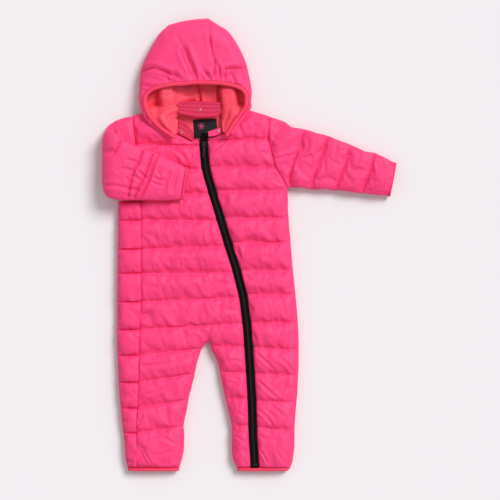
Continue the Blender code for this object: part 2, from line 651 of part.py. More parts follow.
def hood_section(rim, rim_z, edge, edge_z, base, under_z, base_z, roll):
    """Return a hood section's points, its outward directions and its lining's bulge.

    The section runs from the rim out to the edge, then underneath to the base.
    """
    rim, edge, base = (np.asarray(p, float) for p in (rim, edge, base))
    out = edge - rim
    length = float(np.linalg.norm(out))
    out = out / length
    start = min(RIM_SETBACK / length, 0.5)
    shares = start + (1.0 - start) * TOP_STEPS
    reach = min(length * 0.95, CROWN_REACH)
    left = length * (1.0 - shares)
    lift = ease(left, reach)
    points = [np.append(rim + out * length * s, edge_z + (rim_z - edge_z) * v) for s, v in zip(shares, lift)]
    slope = np.clip(1.0 - left / reach, 0.0, 1.0)
    angle = np.arcsin(slope)
    normals = [np.append(out * math.sin(a), math.cos(a)) for a in angle]
    bulge = [0.0] * len(points)
    run = float(np.linalg.norm(base - edge))
    for share in UNDER_STEPS:
        far = share * run
        turn = math.acos(min(max(1.0 - far / HOOD_BASE_ROUNDING, 0.0), 1.0)) if run > 0.1 else 0.0
        floor = under_z + (base_z - under_z) * max((share - LEVEL_SHARE) / (1.0 - LEVEL_SHARE), 0.0)
        points.append(np.append(edge + (base - edge) * share, edge_z + (floor - edge_z) * math.sin(turn)))
        normals.append(np.append(out * math.cos(turn), -math.sin(turn)))
        across = min(max((share - ROLL_START) / (ROLL_END - ROLL_START), 0.0), 1.0)
        bulge.append(roll * math.sin(math.pi * across))
    return np.array(points), np.array(normals), np.array(bulge)


def rim_taper(wall, count):
    """Return the padding along a section, thinner at the rim."""
    thickness = np.full(count, wall)
    thickness[0] = min(wall, 2.4)
    thickness[1] = min(wall, 5.0)
    return thickness


def hood_grids(sections, walls):
    """Return the shell's two grids and the lining's two grids from hood sections."""
    shell_out, shell_in, lining_out, lining_in = [], [], [], []
    for (points, normals, bulge), wall in zip(sections, walls):
        up = np.array((0.0, 0.0, 1.0)) * bulge[:, None]
        thickness = rim_taper(wall, len(points))[:, None]
        gap = HOOD_LINING_GAP
        shell_out.append(points)
        shell_in.append(points - normals * thickness + up)
        lining_out.append(points - normals * (thickness + gap) + up)
        lining_in.append(points - normals * (thickness + gap + HOOD_LINING) + up)
    return [np.array(grid) for grid in (shell_out, shell_in, lining_out, lining_in)]


def ease_border(grid, first_row, last_column):
    """Move a grid's seam edges a little way in from the seam line."""
    grid = grid.copy()
    if first_row:
        step = grid[1] - grid[0]
        grid[0] += SEAM_GAP * step / np.maximum(np.linalg.norm(step, axis=-1, keepdims=True), 1e-6)
    if last_column:
        step = grid[1:, -2] - grid[1:, -1]
        length = np.maximum(np.linalg.norm(step, axis=-1, keepdims=True), 1e-6)
        grid[1:, -1] += 2.0 * SEAM_GAP * step / length
    return grid


def hood_side(name, rows):
    """Make one side of the hood and its lining."""
    sections = []
    for k in range(len(rows["rim_x"])):
        sections.append(hood_section(
            (rows["rim_x"][k], rows["rim_y"][k]), rows["rim_z"][k], (rows["edge_x"][k], rows["edge_y"][k]),
            rows["edge_z"][k], (rows["base_x"][k], rows["base_y"][k]), rows["under_z"][k],
            rows["base_z"][k], rows["roll"][k]))
    grids = [ease_border(grid, True, True) for grid in hood_grids(sections, rows["wall"])]
    for part, pair, material in (("", grids[:2], "shell"), ("_lining", grids[2:], "lining")):
        piece = PaddedPiece(name + part, material)
        piece.add_grid(*pair)
        piece.build()


def hood_centre():
    """Make the hood's middle panel, from the forehead over the crown to the nape, and its lining."""
    right, left = HOOD_RIGHT, HOOD_LEFT
    last = 9
    spread = np.linspace(0.0, 1.0, len(CROWN_EDGE["x"]))
    sections = []
    for n, share in enumerate(spread):
        rim = [np.interp(share, (0, 1), (right[axis][0], left[axis][0])) for axis in ("rim_x", "rim_y")]
        edge = (CROWN_EDGE["x"][n], CROWN_EDGE["y"][n])
        points, normals, bulge = hood_section(rim, right["rim_z"][0], edge, 14.0, edge, 14.0, 14.0, 0.0)
        count = len(TOP_STEPS)
        points, normals = list(points[:count]), list(normals[:count])
        for k in range(1, last):
            at = [np.interp(share, (0, 1), (right[axis][k], left[axis][k])) for axis in ("base_x", "base_y")]
            if k == 1:
                back = np.array(edge) - np.array(at)
                points.append(np.append(np.array(edge) - back * 0.22, 2.5))
                normals.append(np.append(back / np.linalg.norm(back) * 0.5, -0.86))
            points.append(np.append(at, right["base_z"][k]))
            normals.append(np.array((0.0, 0.0, -1.0)))
        sections.append((np.array(points), np.array(normals), np.zeros(len(points))))
    walls = np.full(len(sections), 7.0)
    grids = hood_grids(sections, walls)
    nape_wall = right["wall"][last - 1]
    for offset, grid in zip((0.0, nape_wall, nape_wall + 0.4, nape_wall + 0.4 + HOOD_LINING), grids):
        grid[:, -1, 2] = right["base_z"][last - 1] + offset
    for part, pair, material in (("", grids[:2], "shell"), ("_lining", grids[2:], "lining")):
        eased = [ease_border(ease_border(grid, True, False)[::-1], True, False) for grid in pair]
        piece = PaddedPiece("hood_centre" + part, material)
        piece.add_grid(*eased)
        piece.build()


def rim_binding():
    """Make the binding round the face opening, a round cord of cloth along the rim."""
    right, left = HOOD_RIGHT, HOOD_LEFT
    run = [RIGHT_TIP]
    drop = 1.2
    for rows, order in ((right, range(len(right["rim_x"]) - 1, -1, -1)), (left, range(len(left["rim_x"])))):
        run += [(rows["rim_x"][k], rows["rim_y"][k], rows["rim_z"][k] - drop) for k in order]
    run.append(LEFT_TIP)
    line = smooth_line(np.array(run), 3)
    tube("hood_binding", line, RIM_BINDING_RADIUS, "binding")


def smooth_line(points, splits):
    """Return a Catmull-Rom curve through points, with the given number of steps for each span."""
    padded = np.vstack([2 * points[0] - points[1], points, 2 * points[-1] - points[-2]])
    curve = []
    for k in range(len(points) - 1):
        a, b, c, d = padded[k:k + 4]
        for n in range(splits):
            t = n / splits
            curve.append(0.5 * (
                2 * b + (c - a) * t + (2 * a - 5 * b + 4 * c - d) * t ** 2
                + (3 * b - a - 3 * c + d) * t ** 3))
    curve.append(points[-1])
    return np.array(curve)


def tube(name, line, radius, material):
    """Make a round tube along a line, as a curve with a bevel and filled caps."""
    curve = bpy.data.curves.new(name, "CURVE")
    curve.dimensions = "3D"
    curve.bevel_depth = radius * MM
    curve.bevel_resolution = 1
    curve.use_fill_caps = True
    spline = curve.splines.new("POLY")
    spline.points.add(len(line) - 1)
    for point, place in zip(spline.points, line):
        point.co = (place[0] * MM, place[1] * MM, place[2] * MM, 1.0)
    return place_object(name, curve, material)


def flat_piece(name, outline, low, thickness, material):
    """Make a thin flat piece from its plan outline, as a filled and extruded curve."""
    curve = bpy.data.curves.new(name, "CURVE")
    curve.dimensions = "2D"
    curve.fill_mode = "BOTH"
    curve.extrude = thickness * MM / 2.0
    spline = curve.splines.new("POLY")
    spline.points.add(len(outline) - 1)
    spline.use_cyclic_u = True
    for point, place in zip(spline.points, outline):
        point.co = (place[0] * MM, place[1] * MM, 0.0, 1.0)
    item = place_object(name, curve, material)
    item.location = (0.0, 0.0, (low + thickness / 2.0) * MM)
    return item


def zip_tapes():
    """Make the two tapes, each from the middle of the zip to the front panel on its side."""
    rows = [y for y in np.linspace(176.0, -379.0, 26)]
    for name, sign in (("zip_tape_right", -1.0), ("zip_tape_left", 1.0)):
        top, low = [], []
        for y in rows:
            middle = rail(ZIP_LINE, y)
            xs = (middle + sign * 0.2, middle + sign * (ZIP_HALF_WIDTH - TAPE_TUCK))
            top.append([(x, y, TAPE_HEIGHT + TAPE_THICKNESS) for x in xs])
            low.append([(x, y, TAPE_HEIGHT) for x in xs])
        piece = PaddedPiece(name, "zip_tape")
        piece.add_grid(np.array(top), np.array(low))
        piece.build()


def box(name, centre, size, material, bevel=0.0):
    """Make a box with softened edges."""
    mesh = bmesh.new()
    bmesh.ops.create_cube(mesh, size=1.0)
    bmesh.ops.scale(mesh, vec=tuple(np.multiply(size, MM)), verts=mesh.verts)
    item = finish_mesh(mesh, name, material, smooth=False)
    item.location = tuple(np.multiply(centre, MM))
    if bevel:
        rounding = item.modifiers.new("rounded", "BEVEL")
        rounding.width = bevel * MM
        rounding.segments = 2
    return item


def zip_hardware():
    """Make the slider, its pull tab and the stop at the zip's lower end."""
    deck = TAPE_HEIGHT + TAPE_THICKNESS + 0.3
    slider_y = 169.0
    middle = rail(ZIP_LINE, slider_y)
    box("zip_slider", (middle, slider_y, deck + 1.5), (9.0, 12.0, 3.0), "zip_hardware", 0.9)
    hinge = (middle, slider_y - 1.0, deck + HINGE_HEIGHT)
    pull = box("zip_pull", hinge, (6.0, PULL_LENGTH, 1.6), "zip_hardware", 0.6)
    for vertex in pull.data.vertices:
        vertex.co.y -= (PULL_LENGTH / 2.0 - 1.5) * MM
    box("zip_stop", (8.0, -374.0, deck + 0.8), (9.0, 5.0, 1.6), "zip_hardware", 0.5)


def snap_buttons():
    """Make the three small snaps that hold the hood's lining to the collar."""
    for k, name in enumerate(("snap_right", "snap_back", "snap_left")):
        mesh = bmesh.new()
        bmesh.ops.create_cone(
            mesh, cap_ends=True, segments=16, radius1=SNAP_RADIUS * MM, radius2=SNAP_RADIUS * 0.8 * MM,
            depth=SNAP_HEIGHT * MM)
        item = finish_mesh(mesh, name, "snap")
        item.location = tuple(MM * SNAPS[axis][k] for axis in ("x", "y")) + (
            (SNAPS["z"][k] + 0.3 + SNAP_HEIGHT / 2.0) * MM,)


def neck_pieces():
    """Make the lining at the neck, the three stretches of the collar, the label and chin guard."""
    floor = MID_HEIGHT + 0.3
    flat_piece("neck_lining", path(NECK_LINING), floor, 1.6, "lining")
    box("label", (*LABEL_CENTRE, floor + 1.6 + 0.3 + 0.5), LABEL_SIZE, "label")
    flat_piece("collar_back", path(COLLAR_BACK), 27.0, THIN_CLOTH, "shell")
    flat_piece("collar_right", path(COLLAR_RIGHT), 15.5, THIN_CLOTH, "shell")
    flat_piece("collar_left", path(COLLAR_LEFT), 25.8, THIN_CLOTH, "shell")


def main():
    """Clear the scene and make every piece of the garment."""
    for item in list(bpy.data.objects):
        bpy.data.objects.remove(item, do_unlink=True)
    collection = bpy.data.collections.new(COLLECTION)
    bpy.context.scene.collection.children.link(collection)
    make_materials()
    front_right()
    front_left()
    back()
    sleeve_left()
    sleeve_right()
    hem_bindings()
    hood_side("hood_side_right", HOOD_RIGHT)
    hood_side("hood_side_left", HOOD_LEFT)
    hood_centre()
    rim_binding()
    neck_pieces()
    zip_tapes()
    zip_hardware()
    snap_buttons()


main()
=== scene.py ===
"""Looks of a baby snowsuit laid flat on its back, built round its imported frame.

Sizes are in millimetres in the tables and become metres in the meshes. +Y points to the hood,
+X to the wearer's left and +Z up from the surface that the garment lies on.
"""

import json
import logging
import math
from contextlib import contextmanager
from dataclasses import dataclass, field
from enum import Enum
from typing import Callable, Iterable, Iterator, Sequence

import bmesh
import bpy
import numpy as np
from mathutils import Matrix, Vector

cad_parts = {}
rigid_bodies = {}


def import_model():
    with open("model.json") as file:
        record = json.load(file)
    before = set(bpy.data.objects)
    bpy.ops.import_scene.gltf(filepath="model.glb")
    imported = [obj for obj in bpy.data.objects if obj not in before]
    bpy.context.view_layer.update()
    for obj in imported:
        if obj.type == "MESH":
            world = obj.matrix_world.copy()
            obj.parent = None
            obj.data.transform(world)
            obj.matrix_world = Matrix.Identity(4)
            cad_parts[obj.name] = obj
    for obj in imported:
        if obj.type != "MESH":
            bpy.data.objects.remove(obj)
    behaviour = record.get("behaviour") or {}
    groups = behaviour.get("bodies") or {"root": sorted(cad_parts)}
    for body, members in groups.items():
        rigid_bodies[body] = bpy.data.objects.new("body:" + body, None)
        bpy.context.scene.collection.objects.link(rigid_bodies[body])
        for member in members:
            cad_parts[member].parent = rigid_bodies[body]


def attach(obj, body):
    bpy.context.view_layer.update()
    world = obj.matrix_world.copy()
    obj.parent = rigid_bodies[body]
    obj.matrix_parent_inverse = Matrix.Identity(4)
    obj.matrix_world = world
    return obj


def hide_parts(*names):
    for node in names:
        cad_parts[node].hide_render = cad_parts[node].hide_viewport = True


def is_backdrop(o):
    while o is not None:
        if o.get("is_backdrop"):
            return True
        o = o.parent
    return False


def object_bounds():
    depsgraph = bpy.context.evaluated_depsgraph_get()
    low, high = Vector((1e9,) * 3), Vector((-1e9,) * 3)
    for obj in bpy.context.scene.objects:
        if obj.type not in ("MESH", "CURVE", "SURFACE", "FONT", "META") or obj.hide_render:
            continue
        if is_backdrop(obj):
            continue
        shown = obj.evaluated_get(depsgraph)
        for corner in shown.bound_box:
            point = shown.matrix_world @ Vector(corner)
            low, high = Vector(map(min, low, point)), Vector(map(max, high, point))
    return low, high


MM = 0.001
BODY = "garment"
PULL = "pull"
LOG = logging.getLogger("snowsuit")

Grid = np.ndarray
Plan = np.ndarray

# Cloth layers
MID_HEIGHT = 12.0
PUFF = 13.0
LINE_SHARE = 0.40
SEAM_SHARE = 0.46
TOP_ROUNDING = 24.0
BASE_ROUNDING = 13.0
HALF_CHANNEL = 19.0
SEAM_REACH = 13.0
SOFT_SHARE = 0.80
GROOVE = 1.1
LAYER_GAP = 0.2
SOFT_REACH = 7.0
GROOVE_WIDTH = 1.7
STEP = 3.0
ZIP_HALF_WIDTH = 7.3
NECK_ROWS = 16
CROTCH_ROWS = 8
CROTCH_OUTER = -166.0
CROTCH_INNER = -162.0
PANEL_GAP = 0.06
HILLS = 997
CLOTH_SETTINGS = {
    "quality": 5, "mass": 0.12, "tension_stiffness": 18.0, "compression_stiffness": 18.0,
    "shear_stiffness": 4.0, "bending_stiffness": 0.04, "tension_damping": 12.0,
    "compression_damping": 12.0, "air_damping": 2.0, "use_pressure": True,
    "vertex_group_mass": "sewn"}


def table(columns: str, *rows: Sequence[float]) -> dict[str, np.ndarray]:
    """Return a short table as one array for each named column."""
    names = columns.split()
    return {name: np.array([row[k] for row in rows], float) for k, name in enumerate(names)}


def path(*points: Sequence[float]) -> Plan:
    """Return plan points as an array."""
    return np.array(points, float)


# Outline of the body and both sleeves.
RIGHT_SIDE = path(
    (-224, 74), (-225, -9), (-226, -94), (-226, -169), (-224, -222), (-222, -256), (-218, -298),
    (-214, -332), (-211, -366), (-208, -379))
LEFT_SIDE = path(
    (64, 96), (64, 59), (66, 33), (70, -9), (73, -47), (76.5, -86), (79, -120), (81, -162),
    (81, -205), (79, -247), (76, -280), (74, -307), (74, -341), (71, -366), (66, -379))
RIGHT_INSEAM = path(
    (-70, -162), (-76, -169), (-83, -179), (-90, -200), (-97, -230), (-104, -256), (-109, -285),
    (-113, -309), (-112, -330), (-115, -363), (-120, -379))
LEFT_INSEAM = path(
    (-70, -162), (-65, -179), (-54, -200), (-48, -234), (-42, -261), (-36, -285), (-31, -307),
    (-31, -349), (-29, -366), (-22, -379))
SIDE_SEAM = path((-184, 74), (-184, -91), (-187, -142), (-189, -256), (-192, -307), (-192, -379))
CENTRE_LINE = path((-125, 230), (-70, -162))
ZIP_LINE = path(
    (-79, 190), (-79, 176), (-78, 161), (-76, 135), (-71, 113), (-60, 76), (-38, 4), (-23, -43),
    (-11, -91), (-5, -139), (-2, -179), (3, -259), (5, -327), (8, -373), (8, -386))
RIGHT_ARMHOLE = path((-199, 218.5), (-184, 74))
LEFT_ARMHOLE = path(
    (32, 218), (30, 198), (31, 182), (35, 163), (42.5, 136), (50, 119), (60, 102), (64, 96))
RIGHT_SHOULDER = path(
    (-180, 224), (-199, 219.5), (-214, 216.5), (-230, 210), (-240, 203), (-247, 190), (-250, 160),
    (-251, 106), (-248, 84), (-238, 74), (-224, 74))
LEFT_SHOULDER = path(
    (-3, 229), (32, 219.5), (58, 211), (71, 201.5), (93, 197.5), (133, 186), (171, 171), (195, 160),
    (213, 157), (243, 142.5), (253, 132))
SLEEVE_UNDERSIDE = path((239, 84), (222, 80.6), (190, 85), (150, 90.6), (103, 93), (71, 96), (64, 96))
RIGHT_NECKLINE = path(
    (-199, 218.5), (-180, 224), (-170, 227), (-156, 215), (-141, 200), (-124, 186), (-99, 174),
    (-86.5, 175))
LEFT_NECKLINE = path(
    (32, 218), (-3, 228.5), (-12, 226), (-22, 217), (-34, 203), (-44, 190), (-57, 183), (-71.5, 181))
OUTLINE = (
    RIGHT_SHOULDER, RIGHT_SIDE, RIGHT_INSEAM, LEFT_INSEAM, LEFT_SIDE, LEFT_SHOULDER, SLEEVE_UNDERSIDE)

# Stitched lines across each panel: the height of each end.
RIGHT_CHEST_LINES = path(
    (170, 168), (129, 129), (87, 87), (42, 42), (-7, -2), (-48, -47), (-96, -89), (-143, -133),
    (-166, -162))
RIGHT_LEG_LINES = path((-166, -162), (-186, -176), (-232, -219), (-276, -263), (-318, -308), (-379, -379))
INNER_STRIP_LINES = path((-162, -162), (-172, -172), (-216, -216), (-261, -261), (-307, -307), (-379, -379))
LEFT_FRONT_LINES = path(
    (179, 177), (132, 132), (92, 92), (46, 46), (4, 4), (-43, -43), (-84, -84), (-132, -132),
    (-179, -173), (-222, -218), (-267, -264), (-315, -309), (-379, -379))
WRAP_LINES = path(
    (74, 75.5), (41, 42.6), (-8, -6.6), (-49, -47.4), (-97.5, -95.4), (-145, -142.4), (-188.4, -185.2),
    (-234.2, -231.6), (-278, -276.4), (-320, -318), (-379, -379))


def ease(distance: np.ndarray, reach: float) -> np.ndarray:
    """Return a quarter-ellipse rise, 0 on an edge and 1 once reach away from it."""
    share = np.clip(np.asarray(distance, float) / reach, 0.0, 1.0)
    return np.sqrt(1.0 - (1.0 - share) ** 2)


def distance_to(points: Plan, line: Plan) -> np.ndarray:
    """Return the shortest plan distance from each point to an open line.

    Args:
        points: The points.
        line: The line in plan.

    Returns:
        The distances in mm.
    """
    start = line[:-1, :2]
    run = line[1:, :2] - start
    offset = points[..., None, :2] - start
    share = np.clip((offset * run).sum(-1) / np.maximum((run * run).sum(-1), 1e-9), 0.0, 1.0)
    gap = offset - share[..., None] * run
    return np.sqrt((gap * gap).sum(-1)).min(-1)


def nearest(points: Plan, lines: Iterable[Plan]) -> np.ndarray:
    """Return the distance from each point to the nearest of several lines."""
    return np.min([distance_to(points, line) for line in lines], axis=0)


def rail(line: Plan, y: float) -> float:
    """Return a rail's x at the height y. Rails run from the neck down to the hem."""
    return float(np.interp(-y, -line[:, 1], line[:, 0]))


def resample(line: np.ndarray, count: int) -> np.ndarray:
    """Return count points spread evenly along a line in plan or in space.

    Args:
        line: The line.
        count: How many points.

    Returns:
        The points.
    """
    steps = np.sqrt((np.diff(line, axis=0) ** 2).sum(-1))
    length = np.concatenate([[0.0], np.cumsum(steps)])
    at = np.linspace(0.0, length[-1], count)
    return np.column_stack([np.interp(at, length, line[:, k]) for k in range(line.shape[1])])


def smooth_line(points: np.ndarray, splits: int) -> np.ndarray:
    """Return a Catmull-Rom curve through points, with splits steps for each span.

    Args:
        points: The points it goes through.
        splits: The steps of each span.

    Returns:
        The curve.
    """
    points = np.asarray(points, float)
    padded = np.vstack([2 * points[:1] - points[1:2], points, 2 * points[-1:] - points[-2:-1]])
    t = (np.arange(splits) / splits)[:, None]
    spans = []
    for a, b, c, d in zip(padded, padded[1:], padded[2:], padded[3:]):
        spans.append(0.5 * (
            2 * b + (c - a) * t + (2 * a - 5 * b + 4 * c - d) * t ** 2 + (3 * b - a - 3 * c + d) * t ** 3))
    return np.vstack(spans + [points[-1:]])


def wander(at: np.ndarray, pitch: float, seed: int) -> np.ndarray:
    """Return smooth uneven waves from -1 to 1 along a length, with hills about pitch apart.

    Args:
        at: Where along the length, in mm.
        pitch: The distance between hills in mm.
        seed: The seed of the hills.

    Returns:
        The height of the wave at each place.
    """
    heights = np.random.default_rng(seed).uniform(-1.0, 1.0, HILLS)
    place = np.asarray(at, float) / pitch + 211.0
    cell = np.floor(place).astype(int)
    share = place - cell
    share = share * share * (3.0 - 2.0 * share)
    return heights[cell % HILLS] * (1.0 - share) + heights[(cell + 1) % HILLS] * share


def wander_plan(points: Plan, pitch: float, seed: int) -> np.ndarray:
    """Return smooth uneven hills from -1 to 1 over the plan.

    Args:
        points: The places in plan.
        pitch: The distance between hills in mm.
        seed: The seed of the hills.

    Returns:
        The height of the hills at each point.
    """
    a, b = 0.8, 0.6
    u = points[..., 0] * a + points[..., 1] * b
    v = points[..., 1] * a - points[..., 0] * b
    return wander(u + 9.0 * wander(v, pitch * 1.7, seed + 3), pitch, seed) * wander(v, pitch * 1.2, seed + 7)


@dataclass(frozen=True)
class Crease:
    """A soft trough or ridge laid in the cloth: its line, depth and width in mm."""

    line: tuple[tuple[float, float], ...]
    depth: float
    width: float

    def height(self, points: Plan) -> np.ndarray:
        """Return how far the crease lowers each point, with soft ends and a raised lip.

        Args:
            points: The places in plan.

        Returns:
            The heights in mm, mostly below 0.
        """
        line = smooth_line(np.array(self.line, float), 6)
        gap = distance_to(points, line)
        near = np.exp(-(gap / self.width) ** 2)
        lip = 0.45 * np.exp(-((gap - 2.1 * self.width) / (1.1 * self.width)) ** 2)
        ends = np.minimum(
            np.linalg.norm(points[..., :2] - line[0], axis=-1),
            np.linalg.norm(points[..., :2] - line[-1], axis=-1))
        fade = 0.35 + 0.65 * np.clip(ends / (3.0 * self.width), 0.0, 1.0)
        return self.depth * fade * (lip - near)


def creased(points: Plan, creases: Iterable[Crease]) -> np.ndarray:
    """Return the sum of several creases at each point.

    Args:
        points: The places in plan.
        creases: The creases.

    Returns:
        The heights in mm.
    """
    total = np.zeros(points.shape[:-1])
    for crease in creases:
        total += crease.height(points)
    return total


def quilt_height(
        plan: Plan, lines: Sequence[Plan], seams: Sequence[Plan], seed: int, puff: float = PUFF,
        soft: Sequence[Plan] = ()) -> np.ndarray:
    """Return the height of a quilted top layer over the plan.

    Args:
        plan: Points, whose last axis holds x and y.
        lines: The stitched lines, where the layer is drawn down and gathers into puckers.
        seams: The seams, where the layer is sewn to the next piece.
        seed: The seed of the uneven wadding and puckers.
        puff: The layer's thickness at the crown of a channel.
        soft: The seams that draw the layer down only a little.

    Returns:
        Heights above the surface that the garment lies on.
    """
    edge = ease(nearest(plan, OUTLINE), TOP_ROUNDING)
    to_line = nearest(plan, lines)
    line = LINE_SHARE + (1.0 - LINE_SHARE) * ease(to_line, HALF_CHANNEL)
    seam = 1.0
    if seams:
        seam = SEAM_SHARE + (1.0 - SEAM_SHARE) * ease(nearest(plan, seams), SEAM_REACH)
    if soft:
        seam = seam * (SOFT_SHARE + (1.0 - SOFT_SHARE) * ease(nearest(plan, soft), SOFT_REACH))
    wadding = 1.0 + 0.10 * wander_plan(plan, 34.0, seed) + 0.05 * wander_plan(plan, 13.0, seed + 1)
    share = np.minimum(line, 1.0) * seam
    height = MID_HEIGHT + puff * edge * share * wadding
    groove = GROOVE * np.exp(-(to_line / GROOVE_WIDTH) ** 2)
    return height + (pucker(plan, to_line, seed) - groove) * np.clip(edge, 0.0, 1.0)


def pucker(plan: Plan, gap: np.ndarray, seed: int) -> np.ndarray:
    """Return the small gathers that run out from stitched lines, uneven in reach and size.

    Args:
        plan: The places in plan.
        gap: The distance from each place to its line.
        seed: The seed of the gathers.

    Returns:
        The heights in mm.
    """
    along = plan[..., 0] + 0.25 * plan[..., 1]
    row = np.round(plan[..., 1] / 44.0) * 137.0
    fine = wander(along + row, 5.2, seed + 11) * np.exp(-gap / 6.5)
    broad = wander(along + row + 0.35 * gap, 11.5, seed + 12) * np.exp(-(gap / 15.0) ** 2)
    return (1.15 * fine + 1.35 * broad) * ease(gap + 0.6, 5.0)


def with_height(plan: Plan, height: np.ndarray | float) -> Grid:
    """Return plan points with a height added."""
    return np.concatenate([plan[..., :2], np.broadcast_to(height, plan.shape[:-1])[..., None]], axis=-1)


def base_height(plan: Plan) -> np.ndarray:
    """Return the back layer's height: flat on the surface, and rounded up to the outline."""
    return MID_HEIGHT * (1.0 - ease(nearest(plan, OUTLINE), BASE_ROUNDING))


# --------------------------------------------------------------------------- mesh building
@dataclass
class ClothMesh:
    """Grids of cloth that are welded where they meet, with the points that are sewn down."""

    name: str
    points: list[np.ndarray] = field(default_factory=list)
    pins: list[np.ndarray] = field(default_factory=list)
    faces: list[np.ndarray] = field(default_factory=list)
    count: int = 0

    def add(
            self, grid: Grid, pins: np.ndarray | None = None, closed: bool = False,
            flip: bool = False) -> None:
        """Add a grid of faces.

        Args:
            grid: Points in mm, as rows by columns by 3.
            pins: How firmly each point is sewn down, from 0 to 1.
            closed: Whether the last column joins the first.
            flip: Whether the faces are turned the other way round.
        """
        rows, columns = grid.shape[:2]
        number = np.arange(rows * columns).reshape(rows, columns) + self.count
        right = np.roll(number, -1, axis=1) if closed else number[:, 1:]
        left = number if closed else number[:, :-1]
        quads = np.stack([left[:-1], left[1:], right[1:], right[:-1]], axis=-1).reshape(-1, 4)
        self.faces.append(quads[:, ::-1] if flip else quads)
        self.points.append(grid.reshape(-1, 3))
        self.pins.append((np.zeros((rows, columns)) if pins is None else pins).reshape(-1))
        self.count += rows * columns

    def build(self) -> bpy.types.Object:
        """Weld the grids and return them as an object with a vertex group of pins.

        Returns:
            The object, linked into the scene.
        """
        points, pins = np.concatenate(self.points), np.concatenate(self.pins)
        keys = np.round(points * 20.0).astype(np.int64)
        _, first, index = np.unique(keys, axis=0, return_index=True, return_inverse=True)
        index = index.reshape(-1)
        firm = np.zeros(len(first))
        np.maximum.at(firm, index, pins)
        faces = []
        for quad in index[np.concatenate(self.faces)]:
            ring = [int(v) for n, v in enumerate(quad) if v != quad[n - 1]]
            if len(set(ring)) > 2:
                faces.append(ring)
        data = bpy.data.meshes.new(self.name)
        data.from_pydata((points[first] * MM).tolist(), [], faces)
        item = link_object(self.name, data)
        group = item.vertex_groups.new(name="sewn")
        for level in np.unique(firm):
            if level > 0:
                group.add(np.flatnonzero(firm == level).tolist(), float(level), "REPLACE")
        return item


def link_object(name: str, data: bpy.types.ID) -> bpy.types.Object:
    """Return a new object of the data, linked into the scene.

    Args:
        name: The object's name.
        data: Its mesh or curve.

    Returns:
        The object.
    """
    item = bpy.data.objects.new(name, data)
    bpy.context.scene.collection.objects.link(item)
    return item


def shade(item: bpy.types.Object, degrees: float = 55.0) -> bpy.types.Object:
    """Shade a mesh smooth, but for edges sharper than the angle.

    Args:
        item: The mesh.
        degrees: The angle from which an edge stays sharp.

    Returns:
        The same object.
    """
    item.data.shade_smooth()
    item.data.set_sharp_from_angle(angle=math.radians(degrees))
    return item


def coordinates(item: bpy.types.Object) -> np.ndarray:
    """Return a mesh's points in mm.

    Args:
        item: The mesh.

    Returns:
        A row of x, y and z for each point.
    """
    flat = np.empty(len(item.data.vertices) * 3)
    item.data.vertices.foreach_get("co", flat)
    return flat.reshape(-1, 3) / MM


def move_points(item: bpy.types.Object, points: np.ndarray) -> None:
    """Set a mesh's points, given in mm."""
    item.data.vertices.foreach_set("co", (points * MM).reshape(-1))
    item.data.update()


def settle_cloth(
        item: bpy.types.Object, pressure: float, growth: float, frames: int, cap: float,
        lowest: float) -> None:
    """Let wadding swell the cloth between its stitches, with Blender's Cloth, and apply it.

    Args:
        item: An open sheet with its stitched points in the group "sewn".
        pressure: The push of the wadding from inside.
        growth: How much longer the cloth is than the form it starts from, as a share.
        frames: How many frames it settles for.
        cap: The furthest that a point may move, in mm.
        lowest: The lowest height that a point may reach, in mm.
    """
    start = coordinates(item)
    cloth = item.modifiers.new("cloth", "CLOTH")
    settings = cloth.settings
    for name, value in CLOTH_SETTINGS.items():
        setattr(settings, name, value)
    settings.uniform_pressure_force = pressure
    settings.shrink_min = -growth
    settings.effector_weights.gravity = 0.0
    cloth.collision_settings.use_collision = False
    cloth.point_cache.frame_start = 1
    cloth.point_cache.frame_end = frames
    scene = bpy.context.scene
    for frame in range(1, frames + 1):
        scene.frame_set(frame)
    settled = item.evaluated_get(bpy.context.evaluated_depsgraph_get())
    flat = np.empty(len(start) * 3)
    settled.to_mesh().vertices.foreach_get("co", flat)
    settled.to_mesh_clear()
    item.modifiers.remove(cloth)
    scene.frame_set(1)
    move = np.nan_to_num(flat.reshape(-1, 3) / MM - start)
    length = np.linalg.norm(move, axis=1, keepdims=True)
    move *= np.minimum(1.0, cap / np.maximum(length, 1e-6))
    points = start + move
    points[:, 2] = np.maximum(points[:, 2], np.minimum(start[:, 2], lowest))
    move_points(item, points)


@contextmanager
def editing(item: bpy.types.Object) -> Iterator[bmesh.types.BMesh]:
    """Open an object's mesh for edits, and write it back.

    Args:
        item: The mesh.

    Yields:
        The editable mesh.
    """
    mesh = bmesh.new()
    mesh.from_mesh(item.data)
    yield mesh
    mesh.to_mesh(item.data)
    mesh.free()


def written(name: str, mesh: bmesh.types.BMesh) -> bpy.types.Mesh:
    """Write an edited mesh to new data and free it.

    Args:
        name: The data's name.
        mesh: The edited mesh.

    Returns:
        The data.
    """
    data = bpy.data.meshes.new(name)
    mesh.to_mesh(data)
    mesh.free()
    return data


def relax(item: bpy.types.Object, times: int, share: float) -> None:
    """Soften a mesh's smallest steps a little.

    Args:
        item: The mesh.
        times: How often.
        share: How far each point moves, from 0 to 1.
    """
    with editing(item) as mesh:
        inner = [v for v in mesh.verts if not v.is_boundary]
        for _ in range(times):
            bmesh.ops.smooth_vert(
                mesh, verts=inner, factor=share, use_axis_x=True, use_axis_y=True, use_axis_z=True)


def subdivide(item: bpy.types.Object, levels: int = 1) -> None:
    """Apply a Subdivision Surface.

    Args:
        item: The mesh.
        levels: How often each face is split.
    """
    finer = item.modifiers.new("finer", "SUBSURF")
    finer.levels = levels
    finer.render_levels = levels
    finer.boundary_smooth = "PRESERVE_CORNERS"
    apply_modifiers(item)


